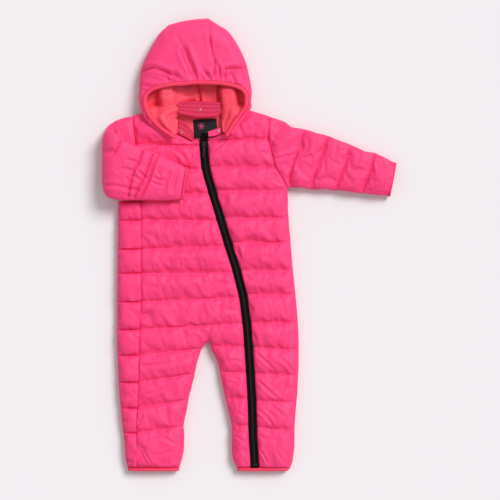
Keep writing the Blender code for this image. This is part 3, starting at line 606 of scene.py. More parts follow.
def apply_modifiers(item: bpy.types.Object) -> None:
    """Turn an object and its modifiers into a plain mesh.

    Args:
        item: The object.
    """
    settled = item.evaluated_get(bpy.context.evaluated_depsgraph_get())
    data = bpy.data.meshes.new_from_object(settled)
    item.modifiers.clear()
    item.data = data


def close_sheet(item: bpy.types.Object, height: Callable[[np.ndarray], np.ndarray]) -> None:
    """Close an open sheet: its edge drops to an inner face at the given height.

    Args:
        item: The open sheet.
        height: Gives the inner face's height in mm at points in mm.
    """
    with editing(item) as mesh:
        border = [edge for edge in mesh.edges if edge.is_boundary]
        made = bmesh.ops.extrude_edge_only(mesh, edges=border)["geom"]
        lower = [part for part in made if isinstance(part, bmesh.types.BMVert)]
        points = np.array([vertex.co for vertex in lower]) / MM
        for vertex, z in zip(lower, height(points)):
            vertex.co.z = float(z) * MM
        bmesh.ops.holes_fill(mesh, edges=[edge for edge in mesh.edges if edge.is_boundary], sides=0)
        bmesh.ops.recalc_face_normals(mesh, faces=mesh.faces)


# --------------------------------------------------------------------------- finishes
def srgb(red: float, green: float, blue: float) -> tuple[float, float, float, float]:
    """Return a colour given in 0 to 255 as the linear values that shaders take.

    Args:
        red: Its red.
        green: Its green.
        blue: Its blue.

    Returns:
        The linear colour, with an alpha of 1.
    """
    values = [channel / 255.0 for channel in (red, green, blue)]
    linear = [v / 12.92 if v <= 0.04045 else ((v + 0.055) / 1.055) ** 2.4 for v in values]
    return (*linear, 1.0)


class Desk:
    """Adds and links the nodes of one tree."""

    def __init__(self, tree: bpy.types.NodeTree) -> None:
        """Keep the tree that nodes are added to."""
        self.tree = tree

    def add(
            self, kind: str, values: dict[str | int, object] | None = None,
            **settings: object) -> bpy.types.Node:
        """Add a node, set its options, and set or link its inputs.

        Args:
            kind: The node's type.
            values: Inputs by name or number. A socket is linked, anything else is set.
            settings: The node's own options.

        Returns:
            The new node.
        """
        node = self.tree.nodes.new(kind)
        for name, value in settings.items():
            setattr(node, name, value)
        for name, value in (values or {}).items():
            if isinstance(value, bpy.types.NodeSocket):
                self.tree.links.new(value, node.inputs[name])
            else:
                node.inputs[name].default_value = value
        return node

    def maths(self, kind: str, *values: object) -> bpy.types.NodeSocket:
        """Add a Math node and return its result."""
        return self.add("ShaderNodeMath", dict(enumerate(values)), operation=kind).outputs[0]


def add_sockets(tree: bpy.types.NodeTree, inputs: dict[str, str], outputs: dict[str, str]) -> None:
    """Give a node group its named sockets.

    Args:
        tree: The group.
        inputs: The kind of each input, by name.
        outputs: The kind of each output, by name.
    """
    for way, sockets in (("INPUT", inputs), ("OUTPUT", outputs)):
        for name, kind in sockets.items():
            tree.interface.new_socket(name, in_out=way, socket_type="NodeSocket" + kind)


def crinkle_group() -> bpy.types.NodeTree:
    """Make the shader group of fine crinkles in thin woven cloth.

    Returns:
        The group, with a height and a shade.
    """
    tree = bpy.data.node_groups.new("cloth_crinkle", "ShaderNodeTree")
    add_sockets(tree, {"Vector": "Vector", "Scale": "Float"}, {"Height": "Float", "Shade": "Float"})
    desk = Desk(tree)
    given = desk.add("NodeGroupInput")
    coarse = desk.add(
        "ShaderNodeTexNoise", {
            "Vector": given.outputs["Vector"], "Scale": given.outputs["Scale"], "Detail": 5.0,
            "Roughness": 0.62, "Distortion": 0.9})
    fold = desk.maths("ABSOLUTE", desk.maths("SUBTRACT", coarse.outputs["Fac"], 0.5))
    ridge = desk.maths("SUBTRACT", 1.0, desk.maths("MULTIPLY", fold, 4.0))
    fine = desk.add(
        "ShaderNodeTexNoise", {"Vector": given.outputs["Vector"],
                               "Scale": desk.maths("MULTIPLY", given.outputs["Scale"], 4.3), "Detail": 3.0})
    height = desk.maths(
        "ADD", desk.maths("MULTIPLY", ridge, 0.6), desk.maths("MULTIPLY", fine.outputs["Fac"], 0.4))
    desk.add("NodeGroupOutput", {"Height": height, "Shade": coarse.outputs["Fac"]})
    return tree


def weave_group() -> bpy.types.NodeTree:
    """Make the shader group of a plain weave of fine threads.

    Returns:
        The group, with a height.
    """
    tree = bpy.data.node_groups.new("plain_weave", "ShaderNodeTree")
    add_sockets(tree, {"Vector": "Vector", "Threads": "Float"}, {"Height": "Float"})
    desk = Desk(tree)
    given = desk.add("NodeGroupInput")
    apart = desk.add("ShaderNodeSeparateXYZ", {0: given.outputs["Vector"]})
    waves = []
    for axis in range(2):
        turn = desk.maths("MULTIPLY", apart.outputs[axis], given.outputs["Threads"])
        waves.append(desk.maths("SINE", turn))
    desk.add("NodeGroupOutput", {"Height": desk.maths("MULTIPLY", waves[0], waves[1])})
    return tree


@dataclass(frozen=True)
class ClothFinish:
    """A dyed cloth: its two shades, gloss, sheen, crinkle and weave."""

    name: str
    deep: tuple[float, float, float]
    light: tuple[float, float, float]
    roughness: float
    sheen: float
    crinkle: float = 0.35
    crinkle_scale: float = 70.0
    threads: float = 9000.0
    weave: float = 0.05
    specular: float = 0.4

    def build(self) -> bpy.types.Material:
        """Return the finished material.

        Returns:
            The material.
        """
        material = bpy.data.materials.new(self.name)
        material.use_nodes = True
        desk = Desk(material.node_tree)
        shader = material.node_tree.nodes["Principled BSDF"]
        place = desk.add("ShaderNodeTexCoord").outputs["Object"]
        crinkle = desk.add("ShaderNodeGroup", node_tree=bpy.data.node_groups["cloth_crinkle"])
        desk.tree.links.new(place, crinkle.inputs["Vector"])
        crinkle.inputs["Scale"].default_value = self.crinkle_scale
        weave = desk.add("ShaderNodeGroup", node_tree=bpy.data.node_groups["plain_weave"])
        desk.tree.links.new(place, weave.inputs["Vector"])
        weave.inputs["Threads"].default_value = self.threads
        patch = desk.add("ShaderNodeTexNoise", {"Vector": place, "Scale": 9.0, "Detail": 2.0})
        tone = desk.maths("ADD", desk.maths("MULTIPLY", crinkle.outputs["Shade"], 0.6),
                          desk.maths("MULTIPLY", patch.outputs["Fac"], 0.5))
        colour = desk.add("ShaderNodeMix", {"Factor": tone}, data_type="RGBA", clamp_factor=True)
        colour.inputs["A"].default_value = srgb(*self.deep)
        colour.inputs["B"].default_value = srgb(*self.light)
        first = desk.add("ShaderNodeBump", {"Height": crinkle.outputs["Height"], "Distance": 0.0009})
        first.inputs["Strength"].default_value = self.crinkle
        second = desk.add(
            "ShaderNodeBump", {"Height": weave.outputs["Height"], "Distance": 0.00012,
                               "Normal": first.outputs["Normal"]})
        second.inputs["Strength"].default_value = self.weave
        links = desk.tree.links
        links.new(colour.outputs["Result"], shader.inputs["Base Color"])
        links.new(second.outputs["Normal"], shader.inputs["Normal"])
        shader.inputs["Roughness"].default_value = self.roughness
        shader.inputs["Sheen Weight"].default_value = self.sheen
        shader.inputs["Sheen Roughness"].default_value = 0.4
        shader.inputs["Sheen Tint"].default_value = srgb(255, 170, 200)
        shader.inputs["Specular IOR Level"].default_value = self.specular
        return material


@dataclass(frozen=True)
class MetalFinish:
    """Enamelled or bare metal with small scuffs."""

    name: str
    colour: tuple[float, float, float]
    roughness: float
    metallic: float

    def build(self) -> bpy.types.Material:
        """Return the finished material.

        Returns:
            The material.
        """
        material = bpy.data.materials.new(self.name)
        material.use_nodes = True
        desk = Desk(material.node_tree)
        shader = material.node_tree.nodes["Principled BSDF"]
        place = desk.add("ShaderNodeTexCoord").outputs["Object"]
        scuff = desk.add("ShaderNodeTexNoise", {"Vector": place, "Scale": 900.0, "Detail": 4.0})
        rough = desk.add("ShaderNodeMapRange", {
            "Value": scuff.outputs["Fac"], "To Min": self.roughness - 0.08, "To Max": self.roughness + 0.15})
        bump = desk.add(
            "ShaderNodeBump", {"Height": scuff.outputs["Fac"], "Distance": 0.00003, "Strength": 0.3})
        links = desk.tree.links
        links.new(rough.outputs["Result"], shader.inputs["Roughness"])
        links.new(bump.outputs["Normal"], shader.inputs["Normal"])
        shader.inputs["Base Color"].default_value = srgb(*self.colour)
        shader.inputs["Metallic"].default_value = self.metallic
        return material


class Finish(Enum):
    """The finishes of the garment's pieces, named after the record's slots."""

    SHELL = "shell"
    LINING = "lining"
    COLLAR_SHADED = "collar"
    BINDING = "binding"
    CUFF = "cuff"
    ZIP_TAPE = "zip_tape"
    COIL = "zip_coil"
    HARDWARE = "zip_hardware"
    LABEL = "label"
    MOTIF = "motif"
    THREAD = "thread"
    SNAP = "snap"


FINISHES = {
    Finish.SHELL: ClothFinish(
        "shell_nylon", (238, 48, 109), (251, 67, 130), 0.56, 0.06, 0.5, 62.0, specular=0.28),
    Finish.LINING: ClothFinish("coral_lining", (240, 50, 76), (252, 80, 104), 0.6, 0.08, 0.5, 80.0),
    # The collar pieces inside the neck wear a darker copy of the shell nylon: painted shade where the hood
    # shades them.
    Finish.COLLAR_SHADED: ClothFinish("collar_nylon_painted_shade", (200, 18, 70), (218, 30, 84), 0.55, 0.05, 0.5, 80.0),
    Finish.BINDING: ClothFinish(
        "coral_binding", (232, 44, 84), (243, 60, 100), 0.6, 0.05, 0.2, 240.0, weave=0.3),
    Finish.CUFF: ClothFinish("pink_binding", (226, 36, 92), (240, 50, 108), 0.6, 0.05, 0.2, 240.0, weave=0.3),
    Finish.ZIP_TAPE: ClothFinish(
        "black_tape", (5, 2, 4), (11, 6, 8), 0.9, 0.0, 0.15, 300.0, threads=5200.0, weave=0.8, specular=0.15),
    Finish.COIL: MetalFinish("coil_nylon", (10, 6, 8), 0.8, 0.0),
    Finish.HARDWARE: MetalFinish("black_enamel", (26, 22, 25), 0.3, 0.5),
    Finish.LABEL: ClothFinish("label_satin", (7, 4, 6), (15, 9, 12), 0.6, 0.0, 0.2, 200.0, threads=6000.0,
                              weave=0.6, specular=0.3),
    Finish.MOTIF: ClothFinish(
        "motif_thread", (190, 60, 104), (214, 84, 124), 0.6, 0.0, 0.2, 400.0, weave=0.3),
    # The thread is darker than the shell so that the stitched lines also show painted shade of their grooves.
    Finish.THREAD: ClothFinish("pink_thread_and_groove_shade", (142, 6, 48), (160, 12, 58), 0.7, 0.0, 0.2, 500.0, weave=0.2),
    Finish.SNAP: MetalFinish("snap_steel", (206, 150, 172), 0.35, 0.8),
}


class Wardrobe:
    def __init__(self) -> None:
        """Build the shader groups and every finish."""
        crinkle_group()
        weave_group()
        self.materials = {finish: made.build() for finish, made in FINISHES.items()}
        self.count = 0

    def dress(
            self, item: bpy.types.Object, finish: Finish, nodes: Sequence[str] = (),
            body: str = BODY) -> None:
        """Give a finished piece its material and body, and hide the frame's nodes that it stands for.

        Args:
            item: The piece.
            finish: Its finish.
            nodes: The frame's nodes that it replaces.
            body: The body it belongs to.
        """
        item.data.materials.clear()
        item.data.materials.append(self.materials[finish])
        item.vertex_groups.clear()
        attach(item, body)
        if nodes:
            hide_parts(*nodes)
        self.count += 1
        LOG.info("%s: %d faces", item.name, len(item.data.polygons))


# --------------------------------------------------------------------------- body
def between(left: Sequence[float], right: Sequence[float], shares: np.ndarray) -> Plan:
    """Return points on the straight line between two points, at the given shares."""
    start, end = np.array(left, float), np.array(right, float)
    return start + (end - start) * shares[:, None]


@dataclass
class FrontPanels:
    """The two quilted fronts, from the neck to the hems."""

    seed: int = 5
    left_columns: int = 38
    strip_columns: int = 22
    front_left_columns: int = 38
    creases_right: tuple[Crease, ...] = (
        Crease(((-179, 160), (-160, 166), (-150, 171)), 1.6, 3.0),
        Crease(((-142, 172), (-122, 158), (-106, 140)), 1.5, 3.4),
        Crease(((-75, -155), (-66, -140), (-62, -128)), 2.2, 3.2),
        Crease(((-64, -158), (-57, -146), (-54, -134)), 2.0, 2.6),
        Crease(((-78, -150), (-92, -141), (-104, -138)), 1.6, 3.4),
        Crease(((-189, -265), (-176.5, -255), (-151.5, -245.5), (-129, -234)), 2.2, 2.4),
        Crease(((-180, -208), (-140, -200), (-92, -189)), 1.8, 3.4),
        Crease(((-190, -305), (-184, -292), (-185.5, -282)), 2.2, 2.6),
        Crease(((-163, -323), (-147, -327.5), (-129, -336.5)), 2.4, 2.6),
        Crease(((-178, -352), (-173, -361), (-167.5, -370)), 2.2, 1.8),
        Crease(((-185, -353), (-180, -362), (-174.5, -372)), 1.8, 1.8),
        Crease(((-161, -356), (-147, -353.5), (-133, -350)), 1.6, 2.0),
        Crease(((-38, -198), (-26, -196), (-14, -199)), 1.6, 2.2),
        Crease(((-38, -225), (-28, -226), (-19, -230)), 1.6, 2.0),
        Crease(((-22, -286), (-14, -289), (-7, -293)), 1.6, 2.0),
        Crease(((-28, -325), (-19, -328), (-11, -334)), 1.8, 2.0),
    )
    creases_left: tuple[Crease, ...] = (
        Crease(((-18, 200), (-14, 190), (-12, 181)), 1.4, 2.6),
        Crease(((4, 210), (8, 196), (6, 182)), 1.2, 3.0),
        Crease(((44, 146), (52, 149), (66, 152)), 1.6, 2.8),
        Crease(((13, -186), (26, -198), (41, -211)), 2.2, 2.2),
        Crease(((42, -185), (58, -198), (75, -217)), 2.2, 2.4),
        Crease(((15, -232), (28, -244), (44, -258)), 2.2, 2.6),
        Crease(((35, -273), (46, -281), (58, -291)), 1.8, 2.6),
        Crease(((15, -281), (27, -291), (37, -304)), 2.2, 2.4),
        Crease(((16, -322), (30, -330), (42, -328)), 1.6, 2.4),
        Crease(((18, -350), (25, -360), (30, -370)), 2.0, 2.0),
        Crease(((46, -352), (52, -361), (58, -366)), 1.6, 2.2),
        Crease(((-41, 179), (-42.5, 173), (-48, 167), (-55, 161.5), (-62, 157)), 1.3, 1.6),
        Crease(((-66, 183), (-56, 176), (-52, 168)), 1.0, 3.0),
    )

    def rows(self, lines: Plan) -> list[tuple[float, float, bool]]:
        """Return the height of both ends of each row, and whether it is a stitched line.

        Args:
            lines: The stitched lines, by the height of their two ends.

        Returns:
            The outer height, the inner height and the mark of each row.
        """
        made = []
        for (outer, inner), (outer_next, inner_next) in zip(lines, lines[1:]):
            count = max(2, int(round(abs(outer_next - outer) / STEP)))
            for k in range(count):
                share = k / count
                made.append((
                    outer + (outer_next - outer) * share, inner + (inner_next - inner) * share, k == 0))
        made.append((lines[-1][0], lines[-1][1], True))
        return made

    def panel(self, lines: Plan, left: Plan, right: Plan, shifts: tuple[float, float], columns: int) -> Plan:
        """Return a grid of plan points between two rails.

        Args:
            lines: The stitched lines.
            left: The rail on the left.
            right: The rail on the right.
            shifts: How far the panel stays inside each rail.
            columns: The faces across.

        Returns:
            The grid.
        """
        shares = np.linspace(0.0, 1.0, columns + 1)
        grid = []
        for outer, inner, _ in self.rows(lines):
            grid.append(between(
                (rail(left, outer) + shifts[0], outer), (rail(right, inner) + shifts[1], inner), shares))
        return np.array(grid)

    def pins(self, lines: Plan, columns: int) -> np.ndarray:
        """Return the pins of a panel: its stitched lines and its two sides.

        Args:
            lines: The stitched lines.
            columns: The faces across.

        Returns:
            A pin from 0 to 1 for each point.
        """
        marks = np.array([row[2] for row in self.rows(lines)], float)
        pins = np.repeat(marks[:, None], columns + 1, axis=1)
        pins[:, [0, -1]] = 1.0
        return pins

    @staticmethod
    def line_paths(lines: Plan, left: Plan, right: Plan) -> list[Plan]:
        """Return the stitched lines as plan paths."""
        return [path((rail(left, o) - 2.0, o), (rail(right, i) + 2.0, i)) for o, i in lines]

    def right_panel(self) -> bpy.types.Object:
        """Return the wearer's right front, with the strip inside the left leg.

        Returns:
            The flat panel.
        """
        outer_rail = np.vstack([RIGHT_ARMHOLE, SIDE_SEAM[1:]])
        n_left, n_strip = self.left_columns, self.strip_columns
        shares_left = np.linspace(0.0, 1.0, n_left + 1)
        shares_strip = np.linspace(0.0, 1.0, n_strip + 1)
        chest = []
        rows = self.rows(RIGHT_CHEST_LINES)
        for outer, inner, _ in rows:
            left = np.array((rail(outer_rail, outer) + PANEL_GAP, outer))
            right = np.array((rail(ZIP_LINE, inner) - ZIP_HALF_WIDTH, inner))
            share = (rail(CENTRE_LINE, inner) - left[0]) / (right[0] - left[0])
            middle = left + (right - left) * share
            chest.append(np.concatenate([
                between(left, middle, shares_left), between(middle, right, shares_strip)[1:]]))
        crotch = RIGHT_INSEAM[0]
        last_left = (rail(outer_rail, CROTCH_OUTER) + PANEL_GAP, CROTCH_OUTER)
        last_right = (rail(ZIP_LINE, CROTCH_INNER) - ZIP_HALF_WIDTH, CROTCH_INNER)
        last = np.concatenate([
            between(last_left, crotch, shares_left), between(crotch, last_right, shares_strip)[1:]])
        for k in range(CROTCH_ROWS):
            share = (k + 1) / CROTCH_ROWS
            row = len(chest) - CROTCH_ROWS + k
            chest[row] = chest[row] + (last - chest[-1]) * share ** 2
        chest[-1] = last
        chest = np.array(chest)
        chest_pins = self.pins(RIGHT_CHEST_LINES, n_left + n_strip)
        chest_pins[-1, 1:-1] = 0.0
        chest_pins[-1, n_left] = 1.0
        neck, neck_pins = self.neck_rows(RIGHT_NECKLINE, chest[0])
        leg = self.panel(RIGHT_LEG_LINES, outer_rail, RIGHT_INSEAM, (PANEL_GAP, 0.0), n_left)
        leg[0] = last[:n_left + 1]
        leg_pins = self.pins(RIGHT_LEG_LINES, n_left)
        leg_pins[0, 1:-1] = 0.0
        strip = self.panel(INNER_STRIP_LINES, LEFT_INSEAM, ZIP_LINE, (0.0, -ZIP_HALF_WIDTH), n_strip)
        strip[0] = last[n_left:]
        strip_pins = self.pins(INNER_STRIP_LINES, n_strip)
        strip_pins[0, 1:-1] = 0.0
        lines = self.line_paths(RIGHT_CHEST_LINES[:-1], outer_rail, ZIP_LINE)
        lines += self.line_paths(RIGHT_LEG_LINES[1:], outer_rail, RIGHT_INSEAM)
        lines += self.line_paths(INNER_STRIP_LINES[1:], LEFT_INSEAM, ZIP_LINE)
        lines.append(path((-174, -118), (-183, -121)))
        zip_edge = ZIP_LINE - (ZIP_HALF_WIDTH, 0.0)
        seams = (RIGHT_ARMHOLE, zip_edge, RIGHT_NECKLINE[2:])
        cloth = ClothMesh("front_right_quilt")
        for grid, pins in ((neck, neck_pins), (chest, chest_pins), (leg, leg_pins), (strip, strip_pins)):
            height = quilt_height(grid, lines, seams, self.seed, PUFF, (SIDE_SEAM,))
            height = height + creased(grid, self.creases_right)
            cloth.add(with_height(grid, height), pins)
        return cloth.build()

    def neck_rows(self, neckline: Plan, below: Plan) -> tuple[Plan, np.ndarray]:
        """Return rows from a neckline down to the first stitched row, and their pins.

        Args:
            neckline: The line at the neck.
            below: The first stitched row.

        Returns:
            The rows and their pins.
        """
        top = resample(neckline, len(below))
        rows = np.array([top + (below - top) * (k / NECK_ROWS) for k in range(NECK_ROWS + 1)])
        pins = np.zeros(rows.shape[:2])
        pins[[0, -1]] = 1.0
        pins[:, [0, -1]] = 1.0
        return rows, pins

    def left_panel(self) -> bpy.types.Object:
        """Return the wearer's left front.

        Returns:
            The flat panel.
        """
        outer_rail = np.vstack([LEFT_ARMHOLE, LEFT_SIDE[1:]])
        columns = self.front_left_columns
        grid = self.panel(LEFT_FRONT_LINES, outer_rail, ZIP_LINE, (-PANEL_GAP, ZIP_HALF_WIDTH), columns)
        neck, neck_pins = self.neck_rows(LEFT_NECKLINE, grid[0])
        lines = self.line_paths(LEFT_FRONT_LINES, outer_rail, ZIP_LINE)
        seams = (LEFT_ARMHOLE, ZIP_LINE + (ZIP_HALF_WIDTH, 0.0), LEFT_NECKLINE[1:])
        cloth = ClothMesh("front_left_quilt")
        for rows, pins in ((neck, neck_pins), (grid, self.pins(LEFT_FRONT_LINES, columns))):
            height = quilt_height(rows, lines, seams, self.seed + 40) + creased(rows, self.creases_left)
            cloth.add(with_height(rows, height), pins, flip=True)
        return cloth.build()

    def build(self, wardrobe: Wardrobe) -> None:
        """Make both fronts, let them settle, close them and dress them.

        Args:
            wardrobe: The materials.
        """
        for item, node, flat, area in (
                (self.right_panel(), "front_right", (0.235, 0.64), 0.098),
                (self.left_panel(), "front_left", (0.17, 0.64), 0.062)):
            settle_cloth(item, 2.5, 0.045, 16, 4.5, MID_HEIGHT)
            relax(item, 1, 0.25)
            subdivide(item)
            close_sheet(item, lambda points: np.full(len(points), MID_HEIGHT + LAYER_GAP))
            shade(item)
            wardrobe.dress(item, Finish.SHELL, (node,))


@dataclass
class BackPanel:
    """The back, which wraps round the right side onto the front as far as the side seam."""

    seed: int = 91
    wrap_columns: int = 16

    def build(self, wardrobe: Wardrobe) -> None:
        """Make the flat underside and the wrapped strip as one piece.

        Args:
            wardrobe: The materials.
        """
        left_rail = np.vstack([RIGHT_ARMHOLE, SIDE_SEAM[1:]])
        right_rail = np.vstack([LEFT_ARMHOLE, LEFT_SIDE[1:]])
        cloth = ClothMesh("back_quilt")
        upper = list(np.linspace(214.0, 74.0, 36))
        lower = []
        for (y, _), (y_next, _) in zip(WRAP_LINES, WRAP_LINES[1:]):
            count = int(round((y - y_next) / STEP))
            lower += [y + (y_next - y) * k / count for k in range(count)]
        lower.append(WRAP_LINES[-1][0])
        lower = sorted([y for y in lower if abs(y - CROTCH_INNER) > 1.4] + [CROTCH_INNER], reverse=True)
        shares = np.concatenate([np.linspace(0.0, 0.9, 9), [0.955, 0.985, 1.0]])
        body, right_leg, left_leg = [], [], []
        for y in upper[1:] + lower[1:]:
            left, right = (rail(left_rail, y), y), (rail(right_rail, y) - 0.3, y)
            if y > 74:
                left = (left[0] + 0.4, y)
            if y >= CROTCH_INNER:
                middle = (rail(CENTRE_LINE, y), y)
                body.append(np.concatenate([
                    between(left, middle, shares[:9] / 0.9), between(middle, right, shares)[1:]]))
            if y <= CROTCH_INNER:
                right_leg.append(between(left, (rail(RIGHT_INSEAM, y), y), shares))
                left_leg.append(between((rail(LEFT_INSEAM, y), y), right, shares))
        shoulders = path((-198.6, 218.5), (-180, 224), (-165, 228.6), (-15, 228.6), (-3, 228.6), (31.7, 218))
        top = resample(shoulders, len(body[0]))
        first = np.array(body[0])
        neck = [top + (first - top) * share for share in np.linspace(0.0, 1.0, 5)]
        right_leg[0] = between(body[-1][0], RIGHT_INSEAM[0], shares)
        for rows in (neck, body[:-1] + [self.split_row(body[-1], 9)], right_leg, left_leg):
            grid = np.array(rows)
            cloth.add(with_height(grid, base_height(grid)), flip=True)
        self.add_wrap(cloth, lower)
        item = cloth.build()
        settle_cloth(item, 2.0, 0.04, 12, 3.5, 0.0)
        weld(item)
        close_sheet(item, lambda points: np.full(len(points), MID_HEIGHT - LAYER_GAP))
        shade(item)
        wardrobe.dress(item, Finish.SHELL, ("back",))

    @staticmethod
    def split_row(row: Plan, columns: int) -> Plan:
        """Return the crotch row, whose middle point is the crotch.

        Args:
            row: The row.
            columns: The faces on each side of the crotch.

        Returns:
            The row again.
        """
        row = row.copy()
        row[columns - 1] = RIGHT_INSEAM[0]
        return row

    def add_wrap(self, cloth: ClothMesh, heights: list[float]) -> None:
        """Add the strip that goes round the right side and onto the front.

        Args:
            cloth: The mesh it is added to.
            heights: The y of each row.
        """
        grid, pins = [], []
        stitched = WRAP_LINES[:, 0]
        for y in heights:
            seam, edge = rail(SIDE_SEAM, y), rail(RIGHT_SIDE, y)
            low_x = np.array([seam, edge + 14.0, edge + 9.0, edge + 5.0, edge + 2.0, edge])
            top_x = edge + (seam - PANEL_GAP - edge) * np.linspace(0.0, 1.0, self.wrap_columns) ** 1.3
            low = np.column_stack([low_x, np.full(len(low_x), y)])
            top = np.column_stack([top_x, np.full(len(top_x), y)])
            grid.append((low, top))
            mark = 1.0 if np.abs(stitched - y).min() < 0.1 else 0.0
            pins.append(np.concatenate([np.ones(len(low_x)), np.full(len(top_x) - 1, mark), [1.0]])[
                np.r_[0:len(low_x), len(low_x) + 1:len(low_x) + len(top_x)]])
        low = np.array([pair[0] for pair in grid])
        top = np.array([pair[1] for pair in grid])
        lines = [path((-240, y), (-180, y)) for y in stitched]
        height = quilt_height(top, lines, (), self.seed, PUFF, (SIDE_SEAM,))
        whole = np.concatenate([with_height(low, base_height(low)), with_height(top, height)[:, 1:]], axis=1)
        cloth.add(whole, np.array(pins))


def weld(item: bpy.types.Object) -> None:
    """Merge points of a mesh that coincide."""
    with editing(item) as mesh:
        bmesh.ops.remove_doubles(mesh, verts=mesh.verts, dist=0.02 * MM)


# --------------------------------------------------------------------------- sleeves
def blend_curves(
        curves: Sequence[Plan], sewn: Sequence[float], columns: int) -> tuple[Plan, np.ndarray]:
    """Return a plan grid whose rows pass through curves, and which rows are sewn.

    Args:
        curves: The stitched and free lines, in order.
        sewn: Which of them are sewn.
        columns: The faces across.

    Returns:
        The grid and the marks of its rows.
    """
    spread = [resample(smooth_line(curve, 6), columns) for curve in curves]
    rows, marks = [], []
    for near, far, mark in zip(spread, spread[1:], sewn):
        count = max(2, int(round(np.linalg.norm(far - near, axis=1).mean() / STEP)))
        for k in range(count):
            rows.append(near + (far - near) * (k / count))
            marks.append(mark if k == 0 else 0.0)
    rows.append(spread[-1])
    marks.append(1.0)
    return np.array(rows), np.array(marks)


@dataclass
class StraightSleeve:
    """The wearer's left sleeve, stretched out, with its stitched lines and cuff."""

    seed: int = 23
    columns: int = 34
    rows: tuple[tuple[bool, tuple[tuple[float, float], ...]], ...] = (
        (True, ((32.1, 219), (30.1, 198), (31.1, 182), (35.1, 163), (42.6, 136), (50.1, 119), (60.1, 102),
                (64.3, 96))),
        (False, ((58, 211), (50, 178), (50, 150), (58, 120), (66, 96.5))),
        (False, ((71, 201.5), (63, 165), (61, 138), (64, 112), (68, 96))),
        (True, ((93, 197), (82, 160), (73, 133), (67, 112), (71, 96.5))),
        (True, ((133, 185.8), (121, 150), (110, 118), (103, 93))),
        (True, ((171, 170.6), (162, 136), (151, 108), (145, 91))),
        (False, ((195, 159.5), (184, 130), (174, 106), (168, 88.5))),
        (True, ((213, 156.5), (203, 122), (194, 98), (190, 85.5))),
        (True, ((245, 140), (241, 112), (234, 82.5))))
    gusset: tuple[tuple[float, float], ...] = ((53, 212), (43.5, 184), (37.0, 167))
    creases: tuple[Crease, ...] = (
        Crease(((43, 144), (56, 147), (75, 152)), 2.2, 3.0),
        Crease(((58, 108), (66, 112), (74, 120)), 2.0, 3.2),
        Crease(((66, 103), (76, 104), (88, 107)), 1.4, 2.8),
        Crease(((96, 186), (98, 170), (95, 158)), 1.0, 2.6),
        Crease(((112, 184), (111, 170), (107, 160)), 1.0, 2.4),
        Crease(((146, 175), (146, 160), (142, 149)), 1.0, 2.4),
        Crease(((186, 160), (184, 148), (180, 139)), 1.0, 2.4),
    )

    def stitched(self) -> list[Plan]:
        """Return the stitched lines across the sleeve."""
        lines = [np.array(line, float) for sewn, line in self.rows[1:-1] if sewn]
        return lines + [np.array(self.gusset, float)]

    def build(self, wardrobe: Wardrobe) -> None:
        """Make the sleeve as one flattened tube and dress it, with its cuff's binding.

        Args:
            wardrobe: The materials.
        """
        curves = [np.array(line, float) for _, line in self.rows]
        top, marks = blend_curves(curves, [float(sewn) for sewn, _ in self.rows], self.columns)
        lines = [smooth_line(line, 4) for line in self.stitched()]
        seams = (smooth_line(curves[0], 4),)
        height = quilt_height(top, lines, seams, self.seed, PUFF - 0.5) + creased(top, self.creases)
        under = top[:, ::-1][:, 1:-1][:, ::3]
        grid = np.concatenate([with_height(top, height), with_height(under, base_height(under))], axis=1)
        pins = np.zeros(grid.shape[:2])
        pins[marks > 0] = 1.0
        pins[:, self.columns:] = 1.0
        cloth = ClothMesh("sleeve_left_quilt")
        cloth.add(grid, pins, closed=True, flip=True)
        item = cloth.build()
        settle_cloth(item, 2.5, 0.045, 14, 4.0, 0.0)
        subdivide(item)
        close_tube(item)
        shade(item)
        wardrobe.dress(item, Finish.SHELL, ("sleeve_left",))
        last = grid[-1]
        make_band(
            "cuff_left", last[0], last[self.columns - 1], np.array((0.94, -0.34, 0.0)), 4.2, 21.0,
            wardrobe, "cuff_binding_left", finish=Finish.CUFF)


def close_tube(item: bpy.types.Object) -> None:
    """Close both ends of an open tube.

    Args:
        item: The tube.
    """
    with editing(item) as mesh:
        bmesh.ops.holes_fill(mesh, edges=[edge for edge in mesh.edges if edge.is_boundary], sides=0)
        bmesh.ops.triangulate(mesh, faces=[face for face in mesh.faces if len(face.verts) > 4])
        bmesh.ops.recalc_face_normals(mesh, faces=mesh.faces)


